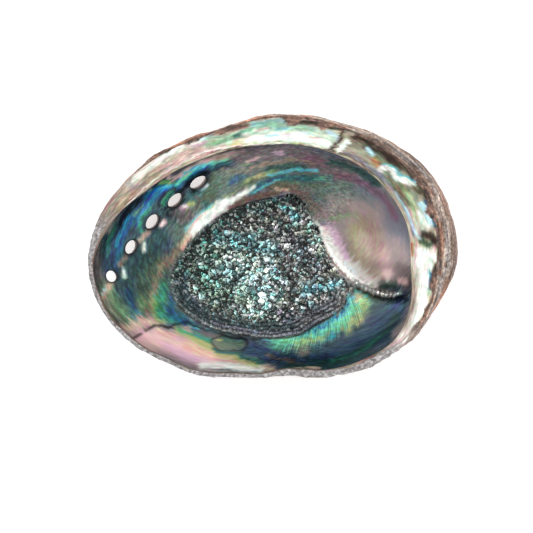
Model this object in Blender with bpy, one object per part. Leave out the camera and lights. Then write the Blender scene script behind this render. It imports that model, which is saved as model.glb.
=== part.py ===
"""An abalone shell lying on its back, open side up: one piece of grown shell.

The wall is a loft round an upright line through the middle of the muscle scar. At each direction
(azimuth) a profile runs from the worn foot up the outside, across the rim or the flat shelf, and
back down the inside. X is along the shell, towards the spire; Y is across, towards the shelf; Z is
up. The numbers below are millimetres on a shell 150 mm long, and degrees.
"""

import math

import bmesh
import bpy
from mathutils import Matrix, Vector

# ---------------------------------------------------------------- driving dimensions
LENGTH = 0.150  # over all, along X, in metres
UNIT = LENGTH / 150

# Plan outlines: radii every 15 degrees anticlockwise from +X, seen from above.
LOFT_CENTRE = (-4.4, -7.3)
GIRTH = (78.8, 80, 77, 71.5, 66, 62.5, 60, 58, 59, 61.5, 65.5, 69,
         70.6, 68, 62.5, 56, 52, 47.5, 46, 46, 52, 59, 66.5, 73)
RIM = (71, 72.5, 71.5, 67.5, 64, 61.5, 59, 57, 58, 61, 65, 69,
       70.6, 68, 62.5, 56, 52, 47.5, 46, 46, 52, 59, 66, 69.5)
INNER_EDGE = (60, 60.5, 58.5, 56, 52.5, 50, 48, 48, 49, 52, 56.5, 63.5,
              68.4, 66, 60.5, 54, 50, 45.5, 44, 43.5, 49.5, 55.5, 61.5, 62)

# Heights and section shapes: values every 30 degrees, from the same start.
RIM_HEIGHT = (36, 37.5, 38, 37, 35, 33, 31, 31, 32, 33, 33.5, 34.5)
SQUARENESS = (2.1, 2.1, 2.2, 2.3, 2.2, 2.1, 2, 2, 2, 2, 2, 2)  # flat floor against full side
STEEPNESS = (2.2, 2.2, 2.2, 2.2, 2.2, 2.1, 1.9, 1.7, 1.6, 1.6, 1.7, 2)  # how upright the rim is

THICKNESS = 3.2  # of the wall, below the rim
SHELF_DROP = 1.4  # the shelf's inner edge lies this much lower than its outer edge
SHELF_START = 0.45  # share of the way up the wall at which it starts to thicken to the shelf
EDGE_ROUND = 0.7  # radius of the rim's two edges
FOOT = (14, 5)  # the lowest point, in plan: below the shell's balance point
FOOT_WEAR = 0.4  # how deep the back is worn flat where it rests

# The shell grows as a log spiral that widens 26 times in each turn round the nucleus.
NUCLEUS = (51.3, -17.8)
GROWTH = math.log(26) / (2 * math.pi)
SUTURE_REACH = 12.4  # from the nucleus to the seam between whorls, straight down in plan
SPIRE_SWELL = 0.11  # depth of a whorl's bulge as a share of its distance from the nucleus
SPIRE_LIMIT = 14  # the bulge grows no deeper past this distance, and fades out

# The row of open breathing holes, newest first, and the low ridge it stands on.
HOLE_SPIRAL = 117.5  # from the nucleus to the newest hole
NEWEST_HOLE = 177.3  # its direction round the nucleus
HOLE_STEP = 6.4  # from each hole to the next older one
HOLE_SIZES = ((4.6, 4.9), (6.2, 4.6), (6.9, 4.7), (7.2, 4.5), (7.6, 4.6))  # along and across the row
HOLE_LEAN = 20  # from upright, leaning out with the wall
ROW_RIDGE, ROW_KNOB, ROW_WIDTH = 0.8, 0.7, 4.5  # height of the ridge, of each knob; half width

# The fold that divides the spire's hollow from the main bowl, from its curled end outwards.
FOLD_PATH = ((51.5, -20.5), (47, -21), (41.5, -19.5), (33.5, -14), (24.5, -5), (17, 6.5), (9, 21))
FOLD_HEIGHT = 6  # at the curled end; it fades to nothing at the far end
FOLD_SPIRE_SIDE = 10  # width of its slope towards the spire
FOLD_BOWL_SIDE = (4.5, 7)  # width of its slope towards the bowl, at the curled and the far end
SPIRE_HOLLOWS = (((46.5, -14), 3, 5.5), ((41, 4), 1, 15))  # middle, depth, radius
SCAR_RAISE, SCAR_RADIUS = 0.8, 31  # the muscle scar stands this proud

# ---------------------------------------------------------------- how finely it is built
SEGMENTS = 84  # round the loft
CROWDING = 0.35  # segments are this much closer together on the spire's side
CROWDED_AT = -8
OUTSIDE_RINGS, SHELF_RINGS, INSIDE_RINGS = 25, 8, 24
FINE = 160  # points in a section before it is stepped off evenly


def between(a, b, c, d, share):
    """A smooth curve's value this share of the way from b to c; a and d are its neighbours."""
    square, cube = share ** 2, share ** 3
    return ((2 * cube - 3 * square + 1) * b + (cube - 2 * square + share) * (c - a) / 2
            + (3 * square - 2 * cube) * c + (cube - square) * (d - b) / 2)


def around(stations, azimuth):
    """A station value at an azimuth in radians, on a smooth closed curve through the stations."""
    place = (azimuth / (2 * math.pi)) % 1 * len(stations)
    index = int(place)
    a, b, c, d = (stations[(index + step) % len(stations)] for step in (-1, 0, 1, 2))
    return between(a, b, c, d, place - index)


def fade(value, start, end):
    """1 up to start, 0 from end on, and a smooth step between them."""
    share = min(max((value - start) / (end - start), 0), 1)
    return 1 - share * share * (3 - 2 * share)


def signed_power(value, exponent):
    return math.copysign(abs(value) ** exponent, value)


def wall_curve(radius, end_radius, top, azimuth):
    """Points up a rounded wall: out to radius, then curling in to end_radius at the top.

    Each point is (distance from the loft centre, height, pull of the loft centre against the foot).
    """
    squareness, steepness = around(SQUARENESS, azimuth), around(STEEPNESS, azimuth)
    end = math.pi - math.asin(min(end_radius / radius, 1) ** (squareness / 2))
    depth = top / (1 - signed_power(math.cos(end), 2 / steepness))
    points = []
    for step in range(FINE + 1):
        angle = end * step / FINE
        rise = 1 - signed_power(math.cos(angle), 2 / steepness)
        share = math.sin(angle) ** (2 / squareness)
        pull = share ** 2 if angle < math.pi / 2 else 1
        points.append(Vector((radius * share, depth * rise, pull)))
    return points


def even_steps(points, count):
    """The same curve as count + 1 points, equally far apart along it."""
    reach = [0]
    for before, after in zip(points, points[1:]):
        reach.append(reach[-1] + (after - before).length)
    stepped, index = [], 0
    for step in range(count + 1):
        goal = reach[-1] * step / count
        while index < len(points) - 2 and reach[index + 1] < goal:
            index += 1
        span = reach[index + 1] - reach[index]
        stepped.append(points[index].lerp(points[index + 1], (goal - reach[index]) / span))
    return stepped


def line_with(outside, across_rim):
    """The inside of the wall: the outside moved in, reaching all the way across the rim at the top."""
    inside = []
    for index, point in enumerate(outside):
        tangent = (outside[min(index + 1, FINE)] - outside[max(index - 1, 0)]).xy.normalized()
        inward = Vector((-tangent.y, tangent.x)) * THICKNESS
        flat = point.xy + inward.lerp(across_rim, 1 - fade(index / FINE, SHELF_START, 1))
        inside.append(Vector((max(flat.x, 0), flat.y, point.z)))
    return inside


def profile(azimuth):
    """The wall's whole section: up the outside, across the shelf or rim, down the inside."""
    height = around(RIM_HEIGHT, azimuth)
    girth, rim, edge = (around(outline, azimuth) for outline in (GIRTH, RIM, INNER_EDGE))
    outside = wall_curve(girth, rim, height - EDGE_ROUND, azimuth)
    inside = line_with(outside, Vector((edge - rim, -SHELF_DROP)))
    shelf = []
    for step in range(SHELF_RINGS):
        share = step / (SHELF_RINGS - 1)
        rounding = EDGE_ROUND * (1 - share)
        shelf.append(Vector((rim - rounding + (edge + EDGE_ROUND * share - rim) * share,
                             height - SHELF_DROP * share, 1)))
    return (even_steps(outside, OUTSIDE_RINGS) + shelf
            + even_steps(inside[::-1], INSIDE_RINGS))


def plan_place(azimuth, point):
    """Plan position of a section's point. Low rings are centred on the foot, high ones on the scar."""
    radius, _, pull = point
    x, y = (foot + (centre - foot) * pull for centre, foot in zip(LOFT_CENTRE, FOOT))
    return x + radius * math.cos(azimuth), y + radius * math.sin(azimuth)


def growth_place(x, y):
    """Distance from the nucleus, and direction round it in radians."""
    return max(math.hypot(x - NUCLEUS[0], y - NUCLEUS[1]), 0.1), math.atan2(y - NUCLEUS[1], x - NUCLEUS[0])


def outside_relief(x, y):
    """How far the outside bulges: each whorl between its seams, and the ridge with its knobs."""
    reach, direction = growth_place(x, y)
    turns = math.log(reach / SUTURE_REACH) / GROWTH - (direction + math.pi / 2)
    whorl = turns / (2 * math.pi) % 1
    swell = SPIRE_SWELL * min(reach, SPIRE_LIMIT) * math.sin(math.pi * whorl) ** 0.7
    swell *= fade(reach, SPIRE_LIMIT, 1.8 * SPIRE_LIMIT)
    back = (math.radians(NEWEST_HOLE) - direction) % (2 * math.pi)
    across = reach - HOLE_SPIRAL * math.exp(-GROWTH * back)
    knobs = math.cos(math.pi * back / math.radians(HOLE_STEP)) ** 2
    row = (ROW_RIDGE + ROW_KNOB * knobs) * math.exp(-(across / ROW_WIDTH) ** 2)
    return swell + row * fade(back, 2, 3)


def fold_steps():
    """The fold's crest as short steps: (x, y, share of its length)."""
    last = len(FOLD_PATH) - 1
    steps = 12
    points = []
    for index in range(last):
        a, b, c, d = (Vector(FOLD_PATH[min(max(index + step, 0), last)]) for step in (-1, 0, 1, 2))
        for step in range(steps):
            x, y = between(a, b, c, d, step / steps)
            points.append((x, y, (index + step / steps) / last))
    points.append((*FOLD_PATH[-1], 1))
    return points


FOLD_STEPS = fold_steps()


def fold_rise(x, y):
    """How far the fold stands above the inside surface here."""
    distances = [math.hypot(point[0] - x, point[1] - y) for point in FOLD_STEPS]
    index = distances.index(min(distances))
    before = FOLD_STEPS[max(index - 1, 0)]
    after = FOLD_STEPS[min(index + 1, len(FOLD_STEPS) - 1)]
    side = (after[0] - before[0]) * (y - before[1]) - (after[1] - before[1]) * (x - before[0])
    along = FOLD_STEPS[index][2]
    bowl_side = FOLD_BOWL_SIDE[0] + (FOLD_BOWL_SIDE[1] - FOLD_BOWL_SIDE[0]) * along
    width = FOLD_SPIRE_SIDE if side < 0 else bowl_side
    return FOLD_HEIGHT * (1 - along) ** 0.9 * math.exp(-(distances[index] / width) ** 2)


def inside_relief(x, y):
    """What is added to the plain inside bowl: the fold, the spire's hollows and the raised scar."""
    relief = fold_rise(x, y)
    for (middle_x, middle_y), depth, radius in SPIRE_HOLLOWS:
        relief -= depth * math.exp(-((x - middle_x) ** 2 + (y - middle_y) ** 2) / radius ** 2)
    from_scar = math.hypot(x - LOFT_CENTRE[0], y - LOFT_CENTRE[1])
    return relief + SCAR_RAISE * fade(from_scar, 0.8 * SCAR_RADIUS, SCAR_RADIUS)


def shell_corner(azimuth, section, ring):
    """One corner of the shell's surface in metres, with its relief and the worn foot."""
    x, y = plan_place(azimuth, section[ring])
    z = section[ring].y
    inward = (ring - OUTSIDE_RINGS - SHELF_RINGS) / INSIDE_RINGS
    if ring < OUTSIDE_RINGS:
        z = max(z - outside_relief(x, y) * fade(ring / OUTSIDE_RINGS, 0.7, 0.95), FOOT_WEAR)
    elif inward > 0:
        z += inside_relief(x, y) * (1 - fade(inward, 0.15, 0.45))
    return Vector((x, y, z - FOOT_WEAR)) * UNIT


def material(name, colour, roughness, metallic=0):
    """A plain Principled material."""
    made = bpy.data.materials.new(name)
    made.use_nodes = True
    shader = made.node_tree.nodes["Principled BSDF"]
    shader.inputs["Base Color"].default_value = (*colour, 1)
    shader.inputs["Roughness"].default_value = roughness
    shader.inputs["Metallic"].default_value = metallic
    made.diffuse_color = (*colour, 1)
    return made


def add_object(name, bm):
    """Turns a bmesh into a linked object."""
    mesh = bpy.data.meshes.new(name)
    bm.to_mesh(mesh)
    bm.free()
    made = bpy.data.objects.new(name, mesh)
    bpy.context.scene.collection.objects.link(made)
    return made


def make_shell():
    """The whole shell as one closed wall: a flat grid bent round the loft and closed at its poles."""
    rings = OUTSIDE_RINGS + SHELF_RINGS + INSIDE_RINGS + 1
    azimuths, sections = [], []
    for step in range(SEGMENTS + 1):
        even = 2 * math.pi * (step % SEGMENTS) / SEGMENTS
        azimuths.append(even - CROWDING * math.sin(even - math.radians(CROWDED_AT)))
        sections.append(profile(azimuths[step]))
    bm = bmesh.new()
    bmesh.ops.create_grid(bm, x_segments=SEGMENTS, y_segments=rings, size=1)
    for corner in bm.verts:
        step = round((corner.co.x + 1) / 2 * SEGMENTS)
        ring = round((corner.co.y + 1) / 2 * rings)
        corner.co = shell_corner(azimuths[step], sections[step], ring)
    bmesh.ops.remove_doubles(bm, verts=bm.verts, dist=1e-6)
    bmesh.ops.recalc_face_normals(bm, faces=bm.faces)
    shell = add_object("shell", bm)
    shell.data.shade_smooth()
    shell.data.materials.append(material("nacre", (0.45, 0.55, 0.52), 0.25, 0.3))
    return shell


def make_hole_cutters(shell):
    """One oval bar through the wall at each breathing hole, leaning out with the wall."""
    bm = bmesh.new()
    for index, (length, width) in enumerate(HOLE_SIZES):
        back = math.radians(HOLE_STEP * index)
        reach = HOLE_SPIRAL * math.exp(-GROWTH * back)
        direction = math.radians(NEWEST_HOLE) - back
        x = NUCLEUS[0] + reach * math.cos(direction)
        y = NUCLEUS[1] + reach * math.sin(direction)
        azimuth = math.atan2(y - LOFT_CENTRE[1], x - LOFT_CENTRE[0])
        above, below = Vector((x, y, 2 * RIM_HEIGHT[0])) * UNIT, Vector((0, 0, -1))
        level = shell.ray_cast(above, below)[1].z / UNIT
        row = Matrix.Rotation(direction + math.pi / 2 - math.atan(GROWTH), 4, "Z")
        lean = Matrix.Rotation(math.radians(HOLE_LEAN), 4, (math.sin(azimuth), -math.cos(azimuth), 0))
        oval = Matrix.Diagonal((length / 2, width / 2, 1, 1))
        place = Matrix.Scale(UNIT, 4) @ Matrix.Translation((x, y, level)) @ lean @ row @ oval
        bmesh.ops.create_cone(bm, cap_ends=True, segments=20, radius1=1, radius2=1, depth=26,
                              matrix=place)
    bmesh.ops.recalc_face_normals(bm, faces=bm.faces)
    cutters = add_object("hole_cutters", bm)
    cutters.hide_render = True
    cutters.display_type = "WIRE"
    return cutters


def main():
    for old in list(bpy.data.objects):
        bpy.data.objects.remove(old)
    shell = make_shell()
    cut = shell.modifiers.new("breathing_holes", "BOOLEAN")
    cut.operation = "DIFFERENCE"
    cut.solver = "EXACT"
    bpy.context.view_layer.update()
    cut.object = make_hole_cutters(shell)


main()
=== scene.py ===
# %% [markdown]
# # An abalone shell, lying open side up
# The shell is one grown piece: a thin coiled wall with a rough back, a flat inner shelf, and a bowl
# lined with mother of pearl. A fixed solid gives its size and place. This lesson bends one fine grid
# into the same shell, adds the small relief that the solid leaves out, and paints it.

# %% Load the fixed frame
import math

import bmesh
import bpy
import numpy as np
from mathutils import Matrix, Vector
from mathutils.kdtree import KDTree


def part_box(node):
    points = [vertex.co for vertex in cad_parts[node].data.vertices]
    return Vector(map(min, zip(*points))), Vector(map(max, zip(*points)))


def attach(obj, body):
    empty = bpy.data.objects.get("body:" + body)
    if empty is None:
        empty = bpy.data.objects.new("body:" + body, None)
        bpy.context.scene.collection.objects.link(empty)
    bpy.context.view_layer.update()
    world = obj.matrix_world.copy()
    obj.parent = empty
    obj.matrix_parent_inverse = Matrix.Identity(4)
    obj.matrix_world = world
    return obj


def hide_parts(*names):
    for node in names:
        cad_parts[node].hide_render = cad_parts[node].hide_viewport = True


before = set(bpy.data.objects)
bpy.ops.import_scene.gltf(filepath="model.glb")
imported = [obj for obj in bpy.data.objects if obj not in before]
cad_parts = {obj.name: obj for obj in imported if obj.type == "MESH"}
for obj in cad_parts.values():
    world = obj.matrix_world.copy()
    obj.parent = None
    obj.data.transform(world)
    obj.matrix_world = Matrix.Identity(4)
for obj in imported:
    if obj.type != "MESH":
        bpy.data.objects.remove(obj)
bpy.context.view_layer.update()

box_low, box_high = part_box("shell")
UNIT = (box_high.x - box_low.x) / 150  # one millimetre on a shell 150 long
print("solid's box in mm:", [round(side * 1000, 1) for side in box_high - box_low])

# %% [markdown]
# ## Measures of the shell
# A shell grows at its lip, so every part of it follows the lip's outline. The outline could be drawn
# as a curve by hand. A few radii round the muscle scar's middle are easier to correct, and the same
# stations shaped the solid, so the fine shell lies in the same place. All are in millimetres.

# %% Stations round the rim
LOFT_CENTRE = (-4.4, -7.3)
GIRTH = (78.8, 80, 77, 71.5, 66, 62.5, 60, 58, 59, 61.5, 65.5, 69,
         70.6, 68, 62.5, 56, 52, 47.5, 46, 46, 52, 59, 66.5, 73)
RIM = (71, 72.5, 71.5, 67.5, 64, 61.5, 59, 57, 58, 61, 65, 69,
       70.6, 68, 62.5, 56, 52, 47.5, 46, 46, 52, 59, 66, 69.5)
INNER_EDGE = (60, 60.5, 58.5, 56, 52.5, 50, 48, 48, 49, 52, 56.5, 63.5,
              68.4, 66, 60.5, 54, 50, 45.5, 44, 43.5, 49.5, 55.5, 61.5, 62)
RIM_HEIGHT = (36, 37.5, 38, 37, 35, 33, 31, 31, 32, 33, 33.5, 34.5)
SQUARENESS = (2.1, 2.1, 2.2, 2.3, 2.2, 2.1, 2, 2, 2, 2, 2, 2)  # flat floor against full side
STEEPNESS = (2.2, 2.2, 2.2, 2.2, 2.2, 2.1, 1.9, 1.7, 1.6, 1.6, 1.7, 2)  # how upright the rim is
THICKNESS, SHELF_DROP, SHELF_START, EDGE_ROUND = 3.2, 1.4, 0.45, 0.7
FOOT, FOOT_WEAR = (14, 5), 0.4  # the lowest point in plan, and how deep it is worn
print("widest:", max(GIRTH), "mm from the middle; highest rim:", max(RIM_HEIGHT), "mm")

# %% [markdown]
# ## Smooth curves through the stations
# Straight lines between stations would leave corners in the rim. A cubic curve that passes through
# every station, and runs on smoothly from the last to the first, has none. The second helper is a
# soft step, used wherever something fades out.

# %% Curves and soft steps
def around(stations, azimuth):
    """Station values at the azimuths, on a smooth closed curve through the stations."""
    values = np.array(stations, float)
    place = (azimuth / (2 * math.pi)) % 1 * len(values)
    index = place.astype(int) % len(values)
    a, b, c, d = (values[(index + step) % len(values)] for step in (-1, 0, 1, 2))
    share = place - np.floor(place)
    square, cube = share ** 2, share ** 3
    return ((2 * cube - 3 * square + 1) * b + (cube - 2 * square + share) * (c - a) / 2
            + (3 * square - 2 * cube) * c + (cube - square) * (d - b) / 2)


def fade(value, start, end):
    """1 up to start, 0 from end on, and a smooth step between them."""
    share = np.clip((value - start) / (end - start), 0, 1)
    return 1 - share * share * (3 - 2 * share)


print("girth between two stations: %.2f mm" % around(GIRTH, np.array([0.13]))[0])

# %% [markdown]
# ## The wall's section
# Seen in section, the wall climbs from the foot, bulges, and curls in to the rim. A super-ellipse
# does that with two numbers: how square it is, and how steeply it meets the rim. The inside is the
# same curve moved in by the wall's thickness; near the top it reaches further in and makes the shelf.

# %% The curves of one section
SEGMENTS = 376
OUTSIDE_RINGS, SHELF_RINGS, INSIDE_RINGS = 62, 30, 154
RINGS = OUTSIDE_RINGS + SHELF_RINGS + INSIDE_RINGS + 1
FINE = 400  # points in a curve before it is stepped off evenly
SHELF_DISH = 0.09  # hollow of the shelf, as a share of its width


def signed_power(value, exponent):
    return np.copysign(np.abs(value) ** exponent, value)


def up_the_outside(girth, rim, height, azimuth):
    """The outside from the foot to the rim, as (radius, height, pull towards the scar's middle)."""
    squareness, steepness = (around(shape, azimuth)[:, None] for shape in (SQUARENESS, STEEPNESS))
    end = math.pi - np.arcsin(np.minimum(rim / girth, 1) ** (squareness / 2))
    angle = end * np.linspace(0, 1, FINE + 1)
    depth = (height - EDGE_ROUND) / (1 - signed_power(np.cos(end), 2 / steepness))
    share = np.abs(np.sin(angle)) ** (2 / squareness)
    rise = depth * (1 - signed_power(np.cos(angle), 2 / steepness))
    pull = np.where(angle < math.pi / 2, share ** 2, 1)
    return np.stack((girth * share, rise, pull), axis=2)


def line_with(outside, across):
    """The inside of the wall: the outside moved in, and all the way across the rim at the top."""
    tangent = np.gradient(outside[:, :, :2], axis=1)
    tangent /= np.linalg.norm(tangent, axis=2, keepdims=True)
    inward = np.stack((-tangent[:, :, 1], tangent[:, :, 0]), axis=2) * THICKNESS
    reach = (1 - fade(np.linspace(0, 1, FINE + 1), SHELF_START, 1))[None, :, None]
    inside = outside.copy()
    inside[:, :, :2] += inward * (1 - reach) + across * reach
    inside[:, :, 0] = np.maximum(inside[:, :, 0], 0)
    inside[:, 0, 0] = 0
    return inside


def across_the_shelf(rim, edge, height):
    """The shelf's top, with rounded edges and a slight dish."""
    step = (1 - np.cos(np.linspace(0, math.pi, SHELF_RINGS + 2)[1:-1])) / 2
    crown = EDGE_ROUND * (1 - np.abs(2 * step - 1) ** 6) ** (1 / 6)
    dish = SHELF_DISH * (rim - edge) * np.sin(math.pi * step) ** 2
    top = height - EDGE_ROUND - SHELF_DROP * step + crown - dish
    return np.stack((rim + (edge - rim) * step, top, np.ones_like(top)), axis=2)


print("points in a section:", RINGS + 1)

# %% [markdown]
# ## All sections
# The points of a curve bunch up where it bends little, which would waste the grid. Stepping each
# curve off evenly spreads them. The directions are a little crowded on the spire's side, where the
# radius is longest, so that the faces stay about as wide all round.

# %% Sections round the shell
SPIRE_SIDE, CROWDING = math.radians(-8), 0.2


def even_steps(curves, count):
    """Each curve again as count + 1 points, equally far apart along it."""
    stepped = np.empty((len(curves), count + 1, curves.shape[2]))
    for row, curve in enumerate(curves):
        reach = np.concatenate(([0], np.cumsum(np.linalg.norm(np.diff(curve, axis=0), axis=1))))
        goals = np.linspace(0, reach[-1], count + 1)
        for axis in range(curve.shape[1]):
            stepped[row, :, axis] = np.interp(goals, reach, curve[:, axis])
    return stepped


def sections(azimuth):
    """Every section: up the outside, across the shelf, and down the inside."""
    girth, rim, edge = (around(outline, azimuth)[:, None] for outline in (GIRTH, RIM, INNER_EDGE))
    height = around(RIM_HEIGHT, azimuth)[:, None]
    outside = up_the_outside(girth, rim, height, azimuth)
    inside = line_with(outside, np.stack((edge - rim, np.full_like(rim, -SHELF_DROP)), axis=2))
    return np.concatenate((even_steps(outside, OUTSIDE_RINGS)[:, :-1], outside[:, -1:],
                           across_the_shelf(rim, edge, height),
                           even_steps(inside[:, ::-1], INSIDE_RINGS)), axis=1)


even = 2 * math.pi * (np.arange(SEGMENTS + 1) % SEGMENTS) / SEGMENTS
azimuths = even - CROWDING * np.sin(even - SPIRE_SIDE)
section = sections(azimuths)
print("sections:", section.shape[0], "of", section.shape[1], "points")

# %% [markdown]
# ## Noise
# Growth is never quite regular. Blender has noise of its own, but it is slow one point at a time, so
# this lattice noise works on whole arrays. It has no random draws, so the shell is the same each run.

# %% Lattice noise
def lattice(points, seed):
    """Random values from -1 to 1 at whole-number points."""
    key = np.full(points.shape[:-1], seed * 7919 + 12345, np.uint32)
    for axis, factor in enumerate((374761393, 668265263, 2246822519)):
        key = (key ^ (points[..., axis].astype(np.int64).astype(np.uint32) * np.uint32(factor)))
        key = (key ^ (key >> np.uint32(13))) * np.uint32(1274126177)
    return (key ^ (key >> np.uint32(16))) / 2147483648.0 - 1


def noise(places, size, seed, octaves=2):
    """Smooth noise from about -1 to 1 over places (..., 3); size is the width of its coarsest lump."""
    total, strength = 0, 1
    for octave in range(octaves):
        scaled = places * (2 ** octave / size)
        corner = np.floor(scaled)
        share = scaled - corner
        share = share * share * (3 - 2 * share)
        layer = 0
        for dx, dy, dz in ((0, 0, 0), (1, 0, 0), (0, 1, 0), (1, 1, 0),
                           (0, 0, 1), (1, 0, 1), (0, 1, 1), (1, 1, 1)):
            weight = 1
            for axis, side in enumerate((dx, dy, dz)):
                weight = weight * (share[..., axis] if side else 1 - share[..., axis])
            layer = layer + weight * lattice(corner + (dx, dy, dz), seed + octave)
        total = total + layer * strength
        strength *= 0.5
    return total


print("noise at one place: %.3f" % noise(np.array([[1.5, 2.5, 3.5]]), 2, 11)[0])

# %% [markdown]
# ## Paths
# Folds, furrows and streaks of colour all run along a line. Each is a smooth path through a few
# stops, and everything about it depends on how far a place lies from the path.

# %% Paths and distances
def smooth_path(stops, steps=6, closed=False):
    """A smooth line through the stops, as short straight steps."""
    stops = np.array(stops, float)
    count = len(stops)
    line = []
    for index in range(count if closed else count - 1):
        near = [index - 1, index, index + 1, index + 2]
        near = [i % count if closed else min(max(i, 0), count - 1) for i in near]
        a, b, c, d = stops[near]
        for share in np.arange(steps) / steps:
            square, cube = share ** 2, share ** 3
            line.append((2 * cube - 3 * square + 1) * b + (cube - 2 * square + share) * (c - a) / 2
                        + (3 * square - 2 * cube) * c + (cube - square) * (d - b) / 2)
    line.append(stops[0] if closed else stops[-1])
    return np.array(line)


def from_path(line, x, y):
    """Distance from a line, which side of it (+1 left), and the share of its length at that point."""
    nearest = np.full(x.shape, 1e9)
    side, along = np.zeros(x.shape), np.zeros(x.shape)
    for index in range(len(line) - 1):
        (ax, ay), (bx, by) = line[index][:2], line[index + 1][:2]
        dx, dy = bx - ax, by - ay
        share = np.clip(((x - ax) * dx + (y - ay) * dy) / (dx * dx + dy * dy + 1e-12), 0, 1)
        distance = np.hypot(x - ax - share * dx, y - ay - share * dy)
        closer = distance < nearest
        nearest = np.where(closer, distance, nearest)
        side = np.where(closer, np.sign(dx * (y - ay) - dy * (x - ax)), side)
        along = np.where(closer, (index + share) / (len(line) - 1), along)
    return nearest, side, along


def inside_loop(line, x, y):
    """Distance in mm inside a closed line: positive inside, negative outside."""
    distance = from_path(line, x, y)[0]
    crossings = np.zeros(x.shape, int)
    for (ax, ay), (bx, by) in zip(line[:-1], line[1:]):
        spans = (ay > y) != (by > y)
        crossing_x = ax + (y - ay) * (bx - ax) / (by - ay + 1e-12)
        crossings += spans & (x < crossing_x)
    return np.where(crossings % 2 == 1, distance, -distance)


print("a path of 3 stops has", len(smooth_path(((0, 0), (1, 1), (2, 0)))), "points")

# %% [markdown]
# ## Landmarks
# These are the marks that a shell dealer would name: the muscle scar, the fold that curls over the
# spire's hollow, the ledge of the newest pearl, and a blister beside the scar. Each is a path or a
# place in millimetres from the middle of the shell, seen from above.

# %% Landmarks in plan
SCAR = smooth_path(((-42, -18.5), (-41.5, -12), (-38.5, -5), (-29, 7), (-14, 16.5), (3, 20.5),
                    (10, 20.5), (18, 8), (21.5, -1.5), (25.5, -8.5), (33, -17), (30.5, -21.5),
                    (28.5, -26), (18, -32), (7.5, -37), (-8.5, -37), (-25.5, -33.5), (-37, -26)),
                   closed=True)
FOLD = smooth_path(((50.5, -20), (47, -19.6), (41.5, -18.2), (35.5, -15.6), (31.5, -12.6),
                    (27, -8), (22.8, -2), (20, 3.8), (16.5, 8), (12, 14.5), (8, 21)))
LEDGE = smooth_path(((-57, -38.5), (-52, -34), (-46, -32.5), (-42, -33.5), (-39.5, -32),
                     (-35.5, -31.3), (-32, -32.7), (-24.3, -35), (-15.6, -37.5), (-5, -38)))
BLISTER, BLISTER_SIZE = (-17.5, -39.6), (6.7, 3.4)
print("the scar is", round(float(np.ptp(SCAR[:, 0]))), "by", round(float(np.ptp(SCAR[:, 1]))), "mm")

# %% [markdown]
# ## The row of breathing holes
# The shell grows as a log spiral that widens 26 times in each turn round its first point, the
# nucleus. The holes lie on such a spiral too, so one formula places them all, at even steps of
# growth. Each is an oval, and the newest is the smallest and roundest.

# %% Breathing holes in plan
NUCLEUS = (51.3, -17.8)
GROWTH = math.log(26) / (2 * math.pi)
HOLE_SPIRAL, NEWEST_HOLE, HOLE_STEP, HOLE_LEAN = 117.5, 177.3, 6.4, 20
HOLE_SIZES = ((4.6, 4.9), (6.2, 4.6), (6.9, 4.7), (7.2, 4.5), (7.6, 4.6))  # along and across the row
FURROW_STEPS = (-1.2, 0, 1, 2, 3, 4, 5, 6)


def row_place(back):
    """Plan place on the row of holes, back degrees before the newest hole, and its direction."""
    reach = HOLE_SPIRAL * math.exp(-GROWTH * math.radians(back))
    direction = math.radians(NEWEST_HOLE - back)
    place = (NUCLEUS[0] + reach * math.cos(direction), NUCLEUS[1] + reach * math.sin(direction))
    return place, direction + math.pi / 2 - math.atan(GROWTH)


def hole_ovals(x, y):
    """For each hole, how far out a place lies (1 on its rim), and how far across the row it lies."""
    for (hole_x, hole_y), turn, (length, width) in HOLES:
        along = (x - hole_x) * math.cos(turn) + (y - hole_y) * math.sin(turn)
        across = (y - hole_y) * math.cos(turn) - (x - hole_x) * math.sin(turn)
        yield np.hypot(along / (length / 2), across / (width / 2)), across


HOLES = [(*row_place(HOLE_STEP * index), size) for index, size in enumerate(HOLE_SIZES)]
ROW = smooth_path([row_place(HOLE_STEP * back)[0] for back in FURROW_STEPS])
print("holes at", [tuple(round(value, 1) for value in place) for place, _, _ in HOLES])

# %% [markdown]
# ## The plain wall
# Each section is turned to its direction. Low rings are centred over the foot and high ones over
# the scar, so that the lowest point lies under the shell's balance point.

# %% Place the sections
ring = np.arange(RINGS + 1)
is_outside = ring < OUTSIDE_RINGS + 1
is_inside = ring > OUTSIDE_RINGS + SHELF_RINGS
is_shelf = ~is_outside & ~is_inside
inward = np.clip((ring - OUTSIDE_RINGS - SHELF_RINGS) / INSIDE_RINGS, 0, 1)
upward = np.clip(ring / OUTSIDE_RINGS, 0, 1)
radius, level, pull = section[:, :, 0], section[:, :, 1], section[:, :, 2]
cosine, sine = np.cos(azimuths)[:, None], np.sin(azimuths)[:, None]
plan_x = FOOT[0] + (LOFT_CENTRE[0] - FOOT[0]) * pull + radius * cosine
plan_y = FOOT[1] + (LOFT_CENTRE[1] - FOOT[1]) * pull + radius * sine
print("grid of", plan_x.shape, "points")

# %% [markdown]
# ## Relief of the back
# The back shows how the shell grew: whorls swell between their seams, and a low ridge has a knob
# at every hole that has closed. Both follow the growth spiral, so they are formulas of it.

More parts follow.
